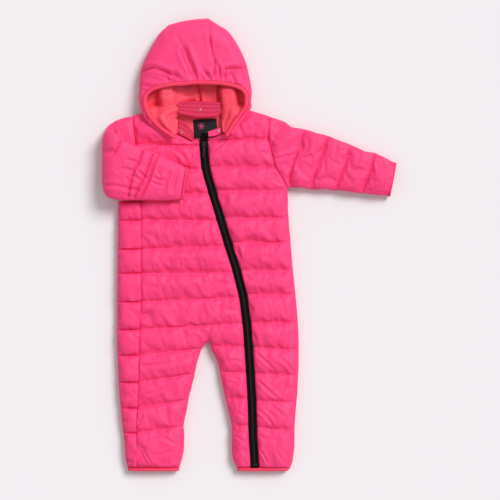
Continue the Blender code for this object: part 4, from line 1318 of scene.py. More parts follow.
def make_band(
        name: str, start: np.ndarray, end: np.ndarray, along: np.ndarray, depth: float, top: float,
        wardrobe: Wardrobe, node: str, low: float = 0.6, seed: int = 3,
        finish: Finish = Finish.BINDING) -> bpy.types.Object:
    """Make a bound opening: a flattened ring of cloth round a dark slit.

    Args:
        name: The piece's name.
        start: One end of the opening, in mm.
        end: The other end.
        along: The direction that the binding runs on in.
        depth: How far it runs.
        top: The height of its upper side.
        wardrobe: Dresses the piece.
        node: The frame's node that it stands for.
        low: The height of its lower side.
        seed: The seed of its small gathers.
        finish: The finish of its cloth.

    Returns:
        The finished piece.
    """
    count = 64
    turn = np.linspace(0.0, 2.0 * math.pi, count, endpoint=False)
    across = np.array(end, float)[:2] - np.array(start, float)[:2]
    middle = (np.array(end, float)[:2] + np.array(start, float)[:2]) / 2.0
    flat = np.sign(np.cos(turn)) * np.abs(np.cos(turn)) ** 0.55 * 0.5
    rise = np.sign(np.sin(turn)) * np.abs(np.sin(turn)) ** 0.7 * 0.5
    gather = wander(flat * np.linalg.norm(across), 5.0, seed)
    rings = []
    steps = ((0.5, 1.0, 0.0), (depth * 0.3, 1.0, 0.5), (depth * 0.75, 1.0, 0.5), (depth, 0.97, 0.2),
             (depth + 0.3, 0.9, 0.0), (depth - 0.6, 0.84, 0.0), (depth - 4.0, 0.8, 0.0))
    for step, scale, swell in steps:
        shift = along[:2] * step
        height = (top + low) / 2.0
        height = height + rise * ((top - low) * scale + swell * 2.0) * (1.0 if scale > 0.95 else 0.62)
        height = height + gather * 0.5 * (scale > 0.95)
        ring = middle + flat[:, None] * across * (scale if scale < 0.95 else 1.0) + shift
        rings.append(np.column_stack([ring, np.clip(height, 0.3, None)]))
    cloth = ClothMesh(name)
    cloth.add(np.array(rings), closed=True)
    item = cloth.build()
    close_tube(item)
    shade(item, 70.0)
    wardrobe.dress(item, finish, (node,))
    return item


@dataclass
class FoldedSleeve:
    """The wearer's right sleeve, folded back over the chest round the elbow."""

    seed: int = 57
    columns: int = 40
    fold_axis: tuple[float, float] = (-227.0, 25.4)
    fold_radius: float = 13.2
    rows: dict[str, np.ndarray] = field(default_factory=lambda: table(
        "top_x top_y low_x low_y turn half",
        (-199.1, 218.5, -186.2, 86, 0, 11.9), (-213, 217, -203, 78, 0, 11.9), (-227, 212, -227, 76, 0, 11.9),
        (-227, 204.5, -227, 78, 45, 11.0), (-227, 190, -227, 86, 90, 10.4), (-227, 195, -227, 78, 135, 11.0),
        (-227, 190, -227, 75, 180, 12.0), (-211, 175, -214, 74, 180, 12.0), (-194, 168, -196, 74, 180, 11.0),
        (-177, 162, -180, 74, 180, 11.8), (-160, 154.5, -163, 73.5, 180, 11.5),
        (-148, 149.5, -151, 73.5, 180, 10.6), (-136, 144, -139, 73.5, 180, 11.0),
        (-121, 137, -127, 74.5, 180, 9.6), (-108.5, 129.5, -117.5, 76, 180, 6.6)))
    lines: tuple[tuple[tuple[float, float], ...], ...] = (
        ((-215, 178), (-224, 162), (-232, 144)),
        ((-179, 163), (-187, 139), (-195.5, 123), (-201, 104), (-206, 78)),
        ((-163, 155), (-177, 115), (-189, 93), (-196, 76)),
        ((-153, 153), (-163, 132), (-169, 111), (-177, 93), (-186, 76)))
    creases: tuple[Crease, ...] = (
        Crease(((-208, 142), (-200, 141), (-190, 138)), 2.6, 2.0),
        Crease(((-222, 124), (-212, 127), (-198, 124)), 3.0, 2.2),
        Crease(((-236, 100), (-220, 97), (-203, 93), (-188, 91)), 3.5, 2.5),
        Crease(((-186, 122), (-180, 116), (-174, 110)), 2.8, 2.2),
        Crease(((-196, 116), (-188, 110), (-182, 108)), 2.3, 1.9),
        Crease(((-209, 112), (-203, 106), (-198, 103)), 2.3, 1.9),
        Crease(((-160, 112), (-152, 108), (-144, 108)), 2.3, 2.2),
        Crease(((-163, 104), (-156, 100), (-150, 99)), 2.1, 2.0),
        Crease(((-122, 122), (-128, 104), (-130, 90)), 2.6, 3.4),
        Crease(((-136, 118), (-141, 104), (-146, 90)), 2.1, 3.7),
        Crease(((-150, 128), (-154, 122), (-150, 114)), 1.6, 2.0),
    )
    shoulder_creases: tuple[Crease, ...] = (
        Crease(((-236, 212), (-222, 196), (-208, 178)), 5.2, 2.2),
        Crease(((-243, 204), (-229, 192), (-214, 178)), 4.5, 2.0),
        Crease(((-249, 196), (-238, 188), (-226, 180)), 3.1, 2.0),
        Crease(((-228, 214), (-216, 200), (-205, 182)), 3.1, 1.9),
    )

    def build(self, wardrobe: Wardrobe) -> None:
        """Make the sleeve as one flattened tube bent round its fold, and its cuff's binding.

        Args:
            wardrobe: The materials.
        """
        table_rows = np.column_stack(list(self.rows.values()))
        fine = []
        for near, far in zip(table_rows, table_rows[1:]):
            gap = max(abs(far[0] - near[0]), abs(far[4] - near[4]) / 180.0 * math.pi * 22.0)
            count = max(2, int(round(gap / 2.2)))
            fine += [near + (far - near) * (k / count) for k in range(count)]
        fine.append(table_rows[-1])
        fine = np.array(fine)
        fine[1:-1] = (fine[:-2] + 2.0 * fine[1:-1] + fine[2:]) / 4.0
        shares = 0.5 - 0.5 * np.cos(np.linspace(0.0, math.pi, self.columns)) * (
            1.0 - 0.25 * np.sin(np.linspace(0.0, math.pi, self.columns)))
        shares = (shares - shares[0]) / (shares[-1] - shares[0])
        lines = [smooth_line(line, 6) for line in self.lines]
        cloth = ClothMesh("sleeve_right_quilt")
        cloth.add(np.array([self.ring(row, shares, lines) for row in fine]), closed=True)
        item = cloth.build()
        subdivide(item)
        close_tube(item)
        shade(item)
        wardrobe.dress(item, Finish.SHELL, ("sleeve_right",))
        last = fine[-1]
        make_band(
            "cuff_right", (last[0], last[1] + 0.5), (last[2], last[3] - 0.5),
            np.array((0.985, -0.17, 0.0)), 4.4, 45.0, wardrobe, "cuff_binding_right", low=32.4, seed=8,
            finish=Finish.CUFF)

    def ring(self, row: np.ndarray, shares: np.ndarray, lines: Sequence[Plan]) -> Grid:
        """Return one section of the bent tube.

        Args:
            row: The section's two ends, turn and half height.
            shares: The places across it, from 0 to 1.
            lines: The stitched lines in plan.

        Returns:
            The points once round the section.
        """
        top, low, angle, half = row[0:2], row[2:4], math.radians(row[4]), row[5]
        away = np.array((-math.sin(angle), 0.0, -math.cos(angle)))
        plan = between(top, low, shares)
        middle = with_height(plan, 0.0)
        middle[:, 0] += away[0] * self.fold_radius
        middle[:, 2] = self.fold_axis[1] + away[2] * self.fold_radius
        width = float(np.linalg.norm(low - top))
        from_edge = np.minimum(shares, 1.0 - shares) * width
        thick = 2.0 + (half - 2.0) * ease(from_edge, 22.0)
        level = max(-math.cos(angle), 0.0)
        gap = nearest(plan, lines)
        drawn = 1.0 - level * 0.34 * (1.0 - ease(gap, 15.0))
        seam = nearest(middle, [RIGHT_ARMHOLE])
        drawn = drawn * (0.62 + 0.38 * ease(seam, 12.0)) if level <= 0.0 else drawn
        groove = 1.5 * np.exp(-(gap / 1.5) ** 2)
        grooves = [Crease(line, 2.4, 1.7) for line in self.lines]
        relief = level * (creased(plan, (*self.creases, *grooves)) + 0.8 * self.gather(plan, gap) - groove)
        outer = middle + (thick * drawn + relief * np.clip(from_edge / 6.0, 0.0, 1.0))[:, None] * away
        facing_up = max(math.cos(angle), 0.0)
        wrinkle = facing_up * creased(middle, self.shoulder_creases)
        inner = middle - (thick * drawn + wrinkle)[:, None] * away
        return np.concatenate([outer, inner[::-1][1:-1:2]])

    def gather(self, plan: Plan, gap: np.ndarray) -> np.ndarray:
        """Return gathers that run out from the stitched lines across the arm.

        Args:
            plan: The places in plan.
            gap: The distance from each place to its line.

        Returns:
            The heights in mm.
        """
        along = plan[:, 1] + plan[:, 0] * 0.3
        fine = wander(along, 5.0, self.seed) * np.exp(-gap / 7.0)
        broad = wander(along, 12.0, self.seed + 1) * np.exp(-(gap / 16.0) ** 2)
        return fine + broad


@dataclass
class Hems:
    """The bindings round the two leg ends."""

    def build(self, wardrobe: Wardrobe) -> None:
        """Make both bindings.

        Args:
            wardrobe: The materials.
        """
        down = np.array((0.0, -1.0, 0.0))
        for side, near, far, seed in (("right", -207.7, -120.3, 4), ("left", -22.3, 65.5, 5)):
            make_band(
                "hem_" + side, (near, -379.2), (far, -379.2), down, 5.4, 19.0, wardrobe,
                "hem_binding_" + side, seed=seed)


# --------------------------------------------------------------------------- hood
HOOD_COLUMNS = "rim_x rim_y rim_z edge_x edge_y edge_z base_x base_y under_z base_z wall roll"
HOOD_RIGHT = table(
    HOOD_COLUMNS,
    (-92, 273, 39, -138, 373, 14, -138, 373, 14, 14, 7, 0),
    (-110, 271, 39, -153, 359, 14, -126, 348, 0, 0, 7, 0),
    (-129, 270, 38, -167, 337, 14, -112, 322, 0, 0, 7, 0),
    (-148, 267, 37, -178.5, 315, 14, -100, 300, 0, 0, 7, 2),
    (-165, 261.5, 36, -186.5, 290, 14, -92, 283, 0, 0, 7, 5),
    (-174, 254, 35, -188, 266, 14, -87, 266, 0, 0, 7, 8),
    (-178, 245, 35, -190, 251, 14, -84, 249, 0, 0, 6, 9),
    (-178, 238, 35, -188, 239, 17, -84, 239, 0, 0, 5, 9),
    (-176, 231, 36, -185, 231.5, 28, -84, 231, 20, 15, 2, 5),
    (-172, 220, 36, -179, 215, 30, -122, 218, 26, 17, 2, 6),
    (-163, 208, 36, -169.5, 202.5, 30, -122, 208, 26, 19, 2, 6),
    (-149, 195, 36, -155, 189, 30, -122.5, 197, 26, 25, 2, 4),
    (-133, 184, 36, -137.5, 177.5, 30, -123, 188, 26, 26, 1.5, 1))
HOOD_LEFT = table(
    HOOD_COLUMNS,
    (-53, 272, 39, -71, 384, 14, -71, 384, 14, 14, 7, 0),
    (-44, 270.8, 39, -54, 373, 14, -66, 356, 0, 0, 7, 0),
    (-37, 270, 38, -37, 362, 14, -63, 334, 0, 0, 7, 0),
    (-29, 268.4, 37, -21, 339, 14, -59, 310, 0, 0, 7, 1),
    (-20, 265.5, 36, -8, 312, 14, -55, 288, 0, 0, 7, 3),
    (-12, 261, 35, -1, 285, 14, -53, 266, 0, 0, 7, 6),
    (-6.5, 252.5, 35, 3, 261, 14, -53, 249, 0, 0, 6, 8),
    (-6, 242, 35, 2, 243, 17, -53, 239, 0, 0, 5, 8),
    (-7, 233, 36, 2, 231.5, 28, -53, 231, 20, 15, 2, 5),
    (-13, 224, 36, -5.5, 219, 30, -49, 221, 26, 17, 2, 5),
    (-20, 214, 36, -12.5, 209, 30, -48, 212, 26, 19, 2, 5),
    (-28, 203, 36, -20.5, 198.5, 30, -46.5, 203, 26, 25, 2, 3),
    (-36, 189, 36, -28.5, 185, 30, -44, 190, 26, 26, 1.5, 1))
CROWN_EDGE = table("x y", (-138, 373), (-122, 377.5), (-107, 380.6), (-89, 383), (-71, 384))
RIGHT_TIP = (-124.5, 179.5, 34.8)
LEFT_TIP = (-41.5, 182.0, 34.8)
HOOD_BASE_ROUNDING = 30.0
CROWN_REACH = 36.0
LEVEL_SHARE = 0.5
ROLL_START = 0.30
ROLL_END = 0.82
RIM_SETBACK = 4.0
TOP_STEPS = 1.0 - (1.0 - np.linspace(0.0, 1.0, 27)) ** 1.25
UNDER_STEPS = np.linspace(0.0, 1.0, 25)[1:]
LINING_GAP = 0.4
LINING_WALL = 1.6


def refine(rows: dict[str, np.ndarray], splits: int) -> dict[str, np.ndarray]:
    """Return a table with smooth rows added between its own.

    Args:
        rows: The table.
        splits: The steps between two of its rows.

    Returns:
        The finer table.
    """
    names = list(rows)
    fine = smooth_line(np.column_stack([rows[name] for name in names]), splits)
    fine = {name: fine[:, k] for k, name in enumerate(names)}
    for name in ("under_z", "base_z", "roll"):
        fine[name] = np.clip(fine[name], 0.0, None)
    return fine


@dataclass
class HoodSection:
    """One slice of the hood, from the rim out over the edge and underneath to the base."""

    points: np.ndarray
    normals: np.ndarray
    bulge: np.ndarray
    wall: float

    @classmethod
    def from_row(cls, row: dict[str, float]) -> "HoodSection":
        """Return the slice of one row of a hood table.

        Args:
            row: The row, by column.

        Returns:
            The slice.
        """
        rim = np.array((row["rim_x"], row["rim_y"]))
        edge = np.array((row["edge_x"], row["edge_y"]))
        base = np.array((row["base_x"], row["base_y"]))
        out = edge - rim
        length = float(np.linalg.norm(out))
        out = out / length
        start = min(RIM_SETBACK / length, 0.5)
        shares = start + (1.0 - start) * TOP_STEPS
        reach = min(length * 0.95, CROWN_REACH)
        left = length * (1.0 - shares)
        lift = ease(left, reach)
        points = [np.append(rim + out * length * s, row["edge_z"] + (row["rim_z"] - row["edge_z"]) * v)
                  for s, v in zip(shares, lift)]
        angle = np.arcsin(np.clip(1.0 - left / reach, 0.0, 1.0))
        normals = [np.append(out * math.sin(a), math.cos(a)) for a in angle]
        bulge = [0.0] * len(points)
        run = float(np.linalg.norm(base - edge))
        for share in UNDER_STEPS:
            far = share * run
            turn = math.acos(min(max(1.0 - far / HOOD_BASE_ROUNDING, 0.0), 1.0)) if run > 0.1 else 0.0
            floor = row["under_z"] + (row["base_z"] - row["under_z"]) * max(
                (share - LEVEL_SHARE) / (1.0 - LEVEL_SHARE), 0.0)
            height = row["edge_z"] + (floor - row["edge_z"]) * math.sin(turn)
            points.append(np.append(edge + (base - edge) * share, height))
            normals.append(np.append(out * math.cos(turn), -math.sin(turn)))
            across = min(max((share - ROLL_START) / (ROLL_END - ROLL_START), 0.0), 1.0)
            bulge.append(row["roll"] * math.sin(math.pi * across))
        return cls(np.array(points), np.array(normals), np.array(bulge), row["wall"])

    def taper(self) -> np.ndarray:
        """Return the padding along the slice, thinner at the rim.

        Returns:
            The padding in mm at each point.
        """
        thickness = np.full(len(self.points), self.wall)
        near_rim = np.clip(TOP_STEPS / 0.3, 0.0, 1.0)
        thickness[:len(TOP_STEPS)] = np.minimum(self.wall, 2.4 + (self.wall - 2.4) * near_rim)
        return thickness


def twin(cloth: ClothMesh, outer: Grid, inner: Grid) -> None:
    """Add an outer and an inner grid and the four walls between their borders.

    Args:
        cloth: The mesh they are added to.
        outer: The outer grid.
        inner: The inner grid.
    """
    cloth.add(outer)
    cloth.add(inner, flip=True)
    for side, flip in ((0, True), (-1, False)):
        cloth.add(np.stack([outer[side], inner[side]]), flip=flip)
        cloth.add(np.stack([outer[:, side], inner[:, side]]), flip=not flip)


@dataclass
class Hood:
    """The quilted hood: two sides, the panel over the crown, their linings and the rim."""

    splits: int = 5
    lining_top: float = 33.0
    shell_creases: tuple[Crease, ...] = (
        Crease(((-111, 326), (-105, 310), (-98, 296), (-94, 278)), 7.0, 4.4),
        Crease(((-104, 296), (-101, 288), (-104, 278)), 3.2, 2.2),
        Crease(((-75, 292), (-72, 286), (-74, 276)), 3.0, 2.0),
        Crease(((-62, 298), (-61, 288), (-60, 276)), 3.4, 2.0),
        Crease(((-53, 300), (-51, 288), (-52, 276)), 2.4, 1.8),
        Crease(((-82, 290), (-84, 284), (-82, 276)), 2.6, 1.8),
        Crease(((-86, 302), (-80, 298), (-66, 300), (-57, 306)), 3.2, 2.4),
        Crease(((-86, 294), (-76, 290), (-68, 280)), 2.8, 2.2),
        Crease(((-80, 292), (-70, 286), (-64, 277)), 2.2, 1.6),
        Crease(((-128, 294), (-124, 286), (-117, 276)), 3.2, 2.4),
        Crease(((-114, 292), (-110, 284), (-111, 276)), 2.6, 2.0),
        Crease(((-101, 292), (-99, 284), (-101, 276)), 2.6, 2.0),
        Crease(((-42, 296), (-30, 297), (-20, 298), (-8, 301)), 4.6, 2.4),
        Crease(((-41, 294), (-44, 286), (-42, 276)), 2.6, 2.2),
        Crease(((-34, 288), (-28, 281), (-27, 274)), 2.2, 2.0),
        Crease(((-187, 293), (-165, 298), (-148, 293), (-130, 286), (-118, 283)), 5.2, 2.8),
        Crease(((-182, 270), (-168, 266), (-156, 271)), 2.8, 2.2),
        Crease(((-178, 258), (-168, 262), (-158, 267)), 2.4, 1.8),
        Crease(((-170, 280), (-158, 278), (-148, 271)), 2.2, 2.0),
        Crease(((-144, 284), (-138, 279), (-134, 273)), 2.4, 1.8),
        Crease(((-136, 348), (-138, 358), (-140, 367)), 1.6, 2.4),
        Crease(((-69, 352), (-67, 336), (-66, 318)), 2.2, 1.8),
    )
    rolls: tuple[tuple[tuple[float, float], ...], ...] = (
        ((-142, 262), (-139, 240), (-136.5, 222), (-138, 208)),
        ((-37, 260), (-35, 240), (-33, 222), (-36, 212)))
    lining_creases: tuple[Crease, ...] = (
        Crease(((-88, 268), (-86, 250), (-84.5, 229)), 5.6, 2.6),
        Crease(((-54, 268), (-53, 250), (-53, 229)), 5.6, 2.6),
        Crease(((-126, 262), (-110, 256), (-96, 258), (-88, 252)), 3.0, 3.0),
        Crease(((-112, 240), (-100, 243), (-88, 240)), 2.6, 2.4),
        Crease(((-146, 266), (-138, 262), (-132, 255), (-140, 250), (-146, 254)), 2.2, 2.4),
        Crease(((-160, 250), (-158, 232), (-152, 214)), 3.0, 4.0),
        Crease(((-136, 214), (-130, 208), (-124, 207)), 1.2, 2.0),
        Crease(((-138, 206), (-131, 202), (-125, 202)), 1.0, 1.8),
        Crease(((-47, 212), (-40, 211), (-34, 213)), 1.4, 1.8),
        Crease(((-45, 250), (-38, 254), (-24, 256)), 1.2, 2.4),
        Crease(((-20, 250), (-19, 236), (-26, 222)), 2.0, 3.0),
    )

    def sections(self, rows: dict[str, np.ndarray]) -> list[HoodSection]:
        """Return the slices of a side of the hood.

        Args:
            rows: The side's table.

        Returns:
            The slices.
        """
        fine = refine(rows, self.splits)
        count = len(fine["rim_x"])
        return [HoodSection.from_row({key: float(fine[key][k]) for key in fine}) for k in range(count)]

    def crown(self) -> list[HoodSection]:
        """Return the slices of the panel over the crown, from one seam to the other.

        Returns:
            The slices.
        """
        right, left = refine(HOOD_RIGHT, self.splits), refine(HOOD_LEFT, self.splits)
        edge_line = resample(smooth_line(np.column_stack([CROWN_EDGE["x"], CROWN_EDGE["y"]]), 4), 19)
        last = 8 * self.splits
        made = []
        for n, share in enumerate(np.linspace(0.0, 1.0, len(edge_line))):
            row = {name: float(right[name][0] * (1.0 - share) + left[name][0] * share) for name in right}
            row.update(edge_x=edge_line[n][0], edge_y=edge_line[n][1], base_x=edge_line[n][0],
                       base_y=edge_line[n][1], edge_z=14.0, under_z=14.0, base_z=14.0, roll=0.0)
            section = HoodSection.from_row(row)
            count = len(TOP_STEPS)
            points, normals = list(section.points[:count]), list(section.normals[:count])
            edge = np.array(edge_line[n])
            for k in range(3, last + 1, 2):
                at = np.array([
                    right[axis][k] * (1.0 - share) + left[axis][k] * share for axis in ("base_x", "base_y")])
                drop = 14.0 * (1.0 - ease(np.linalg.norm(edge - at), 20.0))
                points.append(np.append(at, float(drop) + float(right["base_z"][k])))
                lean = float(np.clip(drop / 14.0, 0.0, 1.0))
                back = (edge - at) / max(np.linalg.norm(edge - at), 1e-6)
                normals.append(np.append(back * lean, -math.sqrt(max(1.0 - lean * lean, 0.0))))
            made.append(HoodSection(np.array(points), np.array(normals), np.zeros(len(points)), 7.0))
        return made

    def grids(self, sections: Sequence[HoodSection]) -> list[Grid]:
        """Return the outer and inner grids of the shell and of the lining.

        Args:
            sections: The slices.

        Returns:
            The four grids, from the outside in.
        """
        layers: list[list[Grid]] = [[], [], [], []]
        for section in sections:
            up = np.array((0.0, 0.0, 1.0)) * section.bulge[:, None]
            wall = section.taper()[:, None]
            points, normals = section.points, section.normals
            layers[0].append(points)
            layers[1].append(points - normals * wall + up)
            layers[2].append(points - normals * (wall + LINING_GAP) + up)
            layers[3].append(points - normals * (wall + LINING_GAP + LINING_WALL) + up)
        return [np.array(layer) for layer in layers]

    def shell_relief(self, grid: Grid, rim_gap: np.ndarray, seams: Sequence[Plan]) -> np.ndarray:
        """Return how far the shell's outer face is raised by puffs, gathers and creases.

        Args:
            grid: The outer face.
            rim_gap: The distance of each point to the rim.
            seams: The distance of each point to a seam.

        Returns:
            The heights in mm.
        """
        along = grid[..., 0] - 0.2 * grid[..., 1]
        gather = wander(along, 4.6, 71) * np.exp(-rim_gap / 9.0) * 2.9
        gather += wander(along + 0.2 * rim_gap, 12.0, 72) * np.exp(-(rim_gap / 20.0) ** 2) * 1.3
        seam = -2.0 * np.exp(-(nearest(grid, seams) / 3.6) ** 2)
        relief = gather + seam + creased(grid, self.shell_creases)
        relief += 0.9 * wander_plan(grid, 26.0, 73) + 0.6 * wander_plan(grid, 10.0, 74)
        return np.clip(relief, -5.0, 3.2)

    def build(self, wardrobe: Wardrobe) -> None:
        """Make every panel of the hood, its lining and the binding round its rim.

        Args:
            wardrobe: The materials.
        """
        rim = self.rim()
        seam_right = path((-138, 373), (-109, 327), (-92, 280))
        seam_left = path((-71, 384), (-65, 324), (-53, 278))
        top_count = len(TOP_STEPS)
        panels = {
            "side_right": self.sections(HOOD_RIGHT), "side_left": self.sections(HOOD_LEFT),
            "centre": self.crown()}
        for name, sections in panels.items():
            grids = [ease_border(grid) for grid in self.grids(sections)]
            outer, inner, lining_out, lining_in = grids
            normals = np.array([section.normals for section in sections])
            rim_gap = nearest(outer, [rim[:, :2]])
            relief = self.shell_relief(outer, rim_gap, (seam_right, seam_left))
            fade = np.zeros(outer.shape[:2])
            near_edge = np.minimum(TOP_STEPS, 1.0 - TOP_STEPS)
            fade[:, :top_count] = np.clip(near_edge / 0.06, 0.0, 1.0)
            outer = outer + normals * (relief * fade)[..., None]
            outer[..., 2] = np.maximum(outer[..., 2], 0.0)
            shell = ClothMesh("hood_quilt_" + name)
            twin(shell, outer, inner)
            item = finish_solid(shell)
            wardrobe.dress(item, Finish.SHELL, ("hood_" + name,))
            puff = 3.4 * np.clip((lining_in[..., 1] - 230.0) / 14.0, 0.0, 1.0) - 0.4
            puff += creased(lining_in, self.lining_creases) + 1.3 * wander_plan(lining_in, 16.0, 75)
            puff += 0.9 * wander_plan(lining_in, 7.0, 76)
            for roll in self.rolls:
                gap = distance_to(lining_in, np.array(roll))
                crest = 12.0 + 16.0 * ease(14.8 - gap, 10.0) + puff * 0.8
                puff = np.where(gap < 14.6, np.maximum(puff, crest - lining_in[..., 2]), puff)
            under = np.zeros(outer.shape[:2])
            under[:, top_count:] = 1.0
            lift = np.clip(puff, -1.2, 22.0) * under
            room = np.clip(self.lining_top - lining_in[..., 2], 0.0, None)
            lift = np.where(lining_in[..., 2] + lift > self.lining_top, room, lift)
            lift[[0, -1]] = 0.0
            lift[:, -1] = 0.0
            lining_in = lining_in + np.array((0.0, 0.0, 1.0)) * lift[..., None]
            cloth = ClothMesh("hood_" + name + "_lining_cloth")
            twin(cloth, lining_out, lining_in)
            item = finish_solid(cloth)
            wardrobe.dress(item, Finish.LINING, ("hood_" + name + "_lining",))
        self.binding(rim, wardrobe)

    @staticmethod
    def rim() -> np.ndarray:
        """Return the line of the rim in space, from its right tip to its left tip.

        Returns:
            The line.
        """
        run = [RIGHT_TIP]
        for rows, order in ((HOOD_RIGHT, range(12, -1, -1)), (HOOD_LEFT, range(13))):
            run += [(rows["rim_x"][k], rows["rim_y"][k], rows["rim_z"][k] - 1.2) for k in order]
        run.append(LEFT_TIP)
        return smooth_line(np.array(run), 6)

    @staticmethod
    def binding(rim: np.ndarray, wardrobe: Wardrobe) -> None:
        """Make the binding as a soft band folded round the rim.

        Args:
            rim: The line of the rim.
            wardrobe: The materials.
        """
        sweep = sweep_tube("rim_binding", rim, 3.5, 2.7, 20, 0.25, 5)
        wardrobe.dress(sweep, Finish.BINDING, ("hood_binding",))


def ease_border(grid: Grid) -> Grid:
    """Move a grid's seam edges a little way in, so that panels don't touch.

    Args:
        grid: The grid.

    Returns:
        The narrower grid.
    """
    grid = grid.copy()
    for edge, inner in ((0, 1), (-1, -2)):
        step = grid[inner] - grid[edge]
        grid[edge] += 0.08 * step / np.maximum(np.linalg.norm(step, axis=-1, keepdims=True), 1e-6)
    return grid


def finish_solid(cloth: ClothMesh, degrees: float = 60.0) -> bpy.types.Object:
    """Build a closed form with its faces outward and smooth shading.

    Args:
        cloth: The form.
        degrees: The angle from which an edge stays sharp.

    Returns:
        The object.
    """
    item = cloth.build()
    with editing(item) as mesh:
        bmesh.ops.dissolve_degenerate(mesh, dist=0.005 * MM, edges=mesh.edges)
        bmesh.ops.recalc_face_normals(mesh, faces=mesh.faces)
    return shade(item, degrees)


def sweep_tube(
        name: str, line: np.ndarray, half_width: float, half_height: float, sides: int, wave: float,
        seed: int) -> bpy.types.Object:
    """Make an oval tube along a line, with small waves, and rounded ends.

    Args:
        name: The tube's name.
        line: Its middle line.
        half_width: Half its width in mm.
        half_height: Half its height in mm.
        sides: The faces round it.
        wave: The size of its waves, from 0 to 1.
        seed: The seed of the waves.

    Returns:
        The tube.
    """
    points = resample(line, max(8, int(len(line) * 1.6)))
    tangent = np.gradient(points, axis=0)
    tangent /= np.linalg.norm(tangent, axis=1, keepdims=True)
    side = np.cross(tangent, (0.0, 0.0, 1.0))
    side /= np.linalg.norm(side, axis=1, keepdims=True)
    up = np.cross(side, tangent)
    turn = np.linspace(0.0, 2.0 * math.pi, sides, endpoint=False)
    length = np.concatenate([[0.0], np.cumsum(np.linalg.norm(np.diff(points, axis=0), axis=1))])
    share = np.minimum(length, length[-1] - length)
    taper = np.clip(np.sqrt(np.clip(share / 2.5, 0.02, 1.0)), 0.0, 1.0)
    swell = 1.0 + wave * 0.3 * wander(length, 6.0, seed)
    out = side[:, None] * (np.cos(turn) * half_width)[None, :, None] * taper[:, None, None]
    rise = up[:, None] * (np.sin(turn)[None, :, None] * (half_height * taper * swell)[:, None, None])
    rings = points[:, None] + out + rise
    cloth = ClothMesh(name)
    cloth.add(rings, closed=True)
    item = cloth.build()
    close_tube(item)
    return shade(item, 80.0)


# --------------------------------------------------------------------------- repeated small parts
def repeat_group(name: str, thing: bpy.types.Object, turned: bool) -> bpy.types.NodeTree:
    """Make the Geometry Nodes group that sets a thing along lines.

    Args:
        name: The group's name.
        thing: The object that is repeated.
        turned: Whether each copy turns with the line.

    Returns:
        The group, with the inputs Geometry, Pitch, Size and Material.
    """
    tree = bpy.data.node_groups.new(name, "GeometryNodeTree")
    inputs = {"Geometry": "Geometry", "Pitch": "Float", "Size": "Float", "Material": "Material"}
    add_sockets(tree, inputs, {"Geometry": "Geometry"})
    desk = Desk(tree)
    given = desk.add("NodeGroupInput")
    curve = desk.add("GeometryNodeMeshToCurve", {"Mesh": given.outputs["Geometry"]})
    even = desk.add(
        "GeometryNodeResampleCurve", {"Curve": curve.outputs[0], "Length": given.outputs["Pitch"]},
                    mode="LENGTH")
    points = desk.add("GeometryNodeCurveToPoints", {"Curve": even.outputs[0]}, mode="EVALUATED")
    source = desk.add("GeometryNodeObjectInfo")
    source.inputs["Object"].default_value = thing
    placed = desk.add("GeometryNodeInstanceOnPoints", {
        "Points": points.outputs["Points"], "Instance": source.outputs["Geometry"],
        "Scale": given.outputs["Size"]})
    if turned:
        desk.tree.links.new(points.outputs["Rotation"], placed.inputs["Rotation"])
    real = desk.add("GeometryNodeRealizeInstances", {"Geometry": placed.outputs[0]})
    finish = desk.add(
        "GeometryNodeSetMaterial", {"Geometry": real.outputs[0], "Material": given.outputs["Material"]})
    desk.add("NodeGroupOutput", {0: finish.outputs[0]})
    return tree


def repeat_along(
        name: str, lines: Sequence[np.ndarray], group: bpy.types.NodeTree, pitch: float, size: float,
        material: bpy.types.Material) -> bpy.types.Object:
    """Set copies of a group's thing along lines in space, as one plain mesh.

    Args:
        name: The new piece's name.
        lines: The lines in space.
        group: The group with the thing.
        pitch: The distance between copies in mm.
        size: The size of a copy.
        material: Its material.

    Returns:
        The mesh of all the copies.
    """
    data = bpy.data.meshes.new(name)
    points, edges, count = [], [], 0
    for line in lines:
        points += (line * MM).tolist()
        edges += [(count + k, count + k + 1) for k in range(len(line) - 1)]
        count += len(line)
    data.from_pydata(points, edges, [])
    item = link_object(name, data)
    repeat = item.modifiers.new("repeat", "NODES")
    repeat.node_group = group
    values = {"Pitch": pitch * MM, "Size": size, "Material": material}
    for socket in group.interface.items_tree:
        if socket.in_out == "INPUT" and socket.name in values:
            repeat[socket.identifier] = values[socket.name]
    apply_modifiers(item)
    return item


def bead(name: str, around: int, along: int, radii: tuple[float, float, float]) -> bpy.types.Object:
    """Make a small rounded form to be repeated.

    Args:
        name: Its name.
        around: Its faces round Z.
        along: Its rows of faces along Z.
        radii: Its half sizes along X, Y and Z in mm.

    Returns:
        The object, not linked to the scene.
    """
    mesh = bmesh.new()
    bmesh.ops.create_uvsphere(mesh, u_segments=around, v_segments=along, radius=1.0)
    bmesh.ops.scale(mesh, vec=tuple(radius * MM for radius in radii), verts=mesh.verts)
    data = written(name, mesh)
    data.shade_smooth()
    return bpy.data.objects.new(name, data)


def lay_on(items: Sequence[bpy.types.Object], plan: Plan, above: float, window: float = 60.0) -> np.ndarray:
    """Return plan points raised onto the first of several meshes below them.

    Args:
        items: The meshes.
        plan: The points in plan.
        above: How far over the mesh a point lies.
        window: The points kept, by height.

    Returns:
        The points in space.
    """
    found = np.full(len(plan), np.nan)
    bpy.context.view_layer.update()
    for item in items:
        for k, (x, y) in enumerate(plan[:, :2]):
            hit, place, _, _ = item.ray_cast(Vector((x * MM, y * MM, window * MM)), Vector((0.0, 0.0, -1.0)))
            if hit and not found[k] > place.z / MM:
                found[k] = place.z / MM
    kept = ~np.isnan(found)
    return np.column_stack([plan[kept, 0], plan[kept, 1], found[kept] + above])


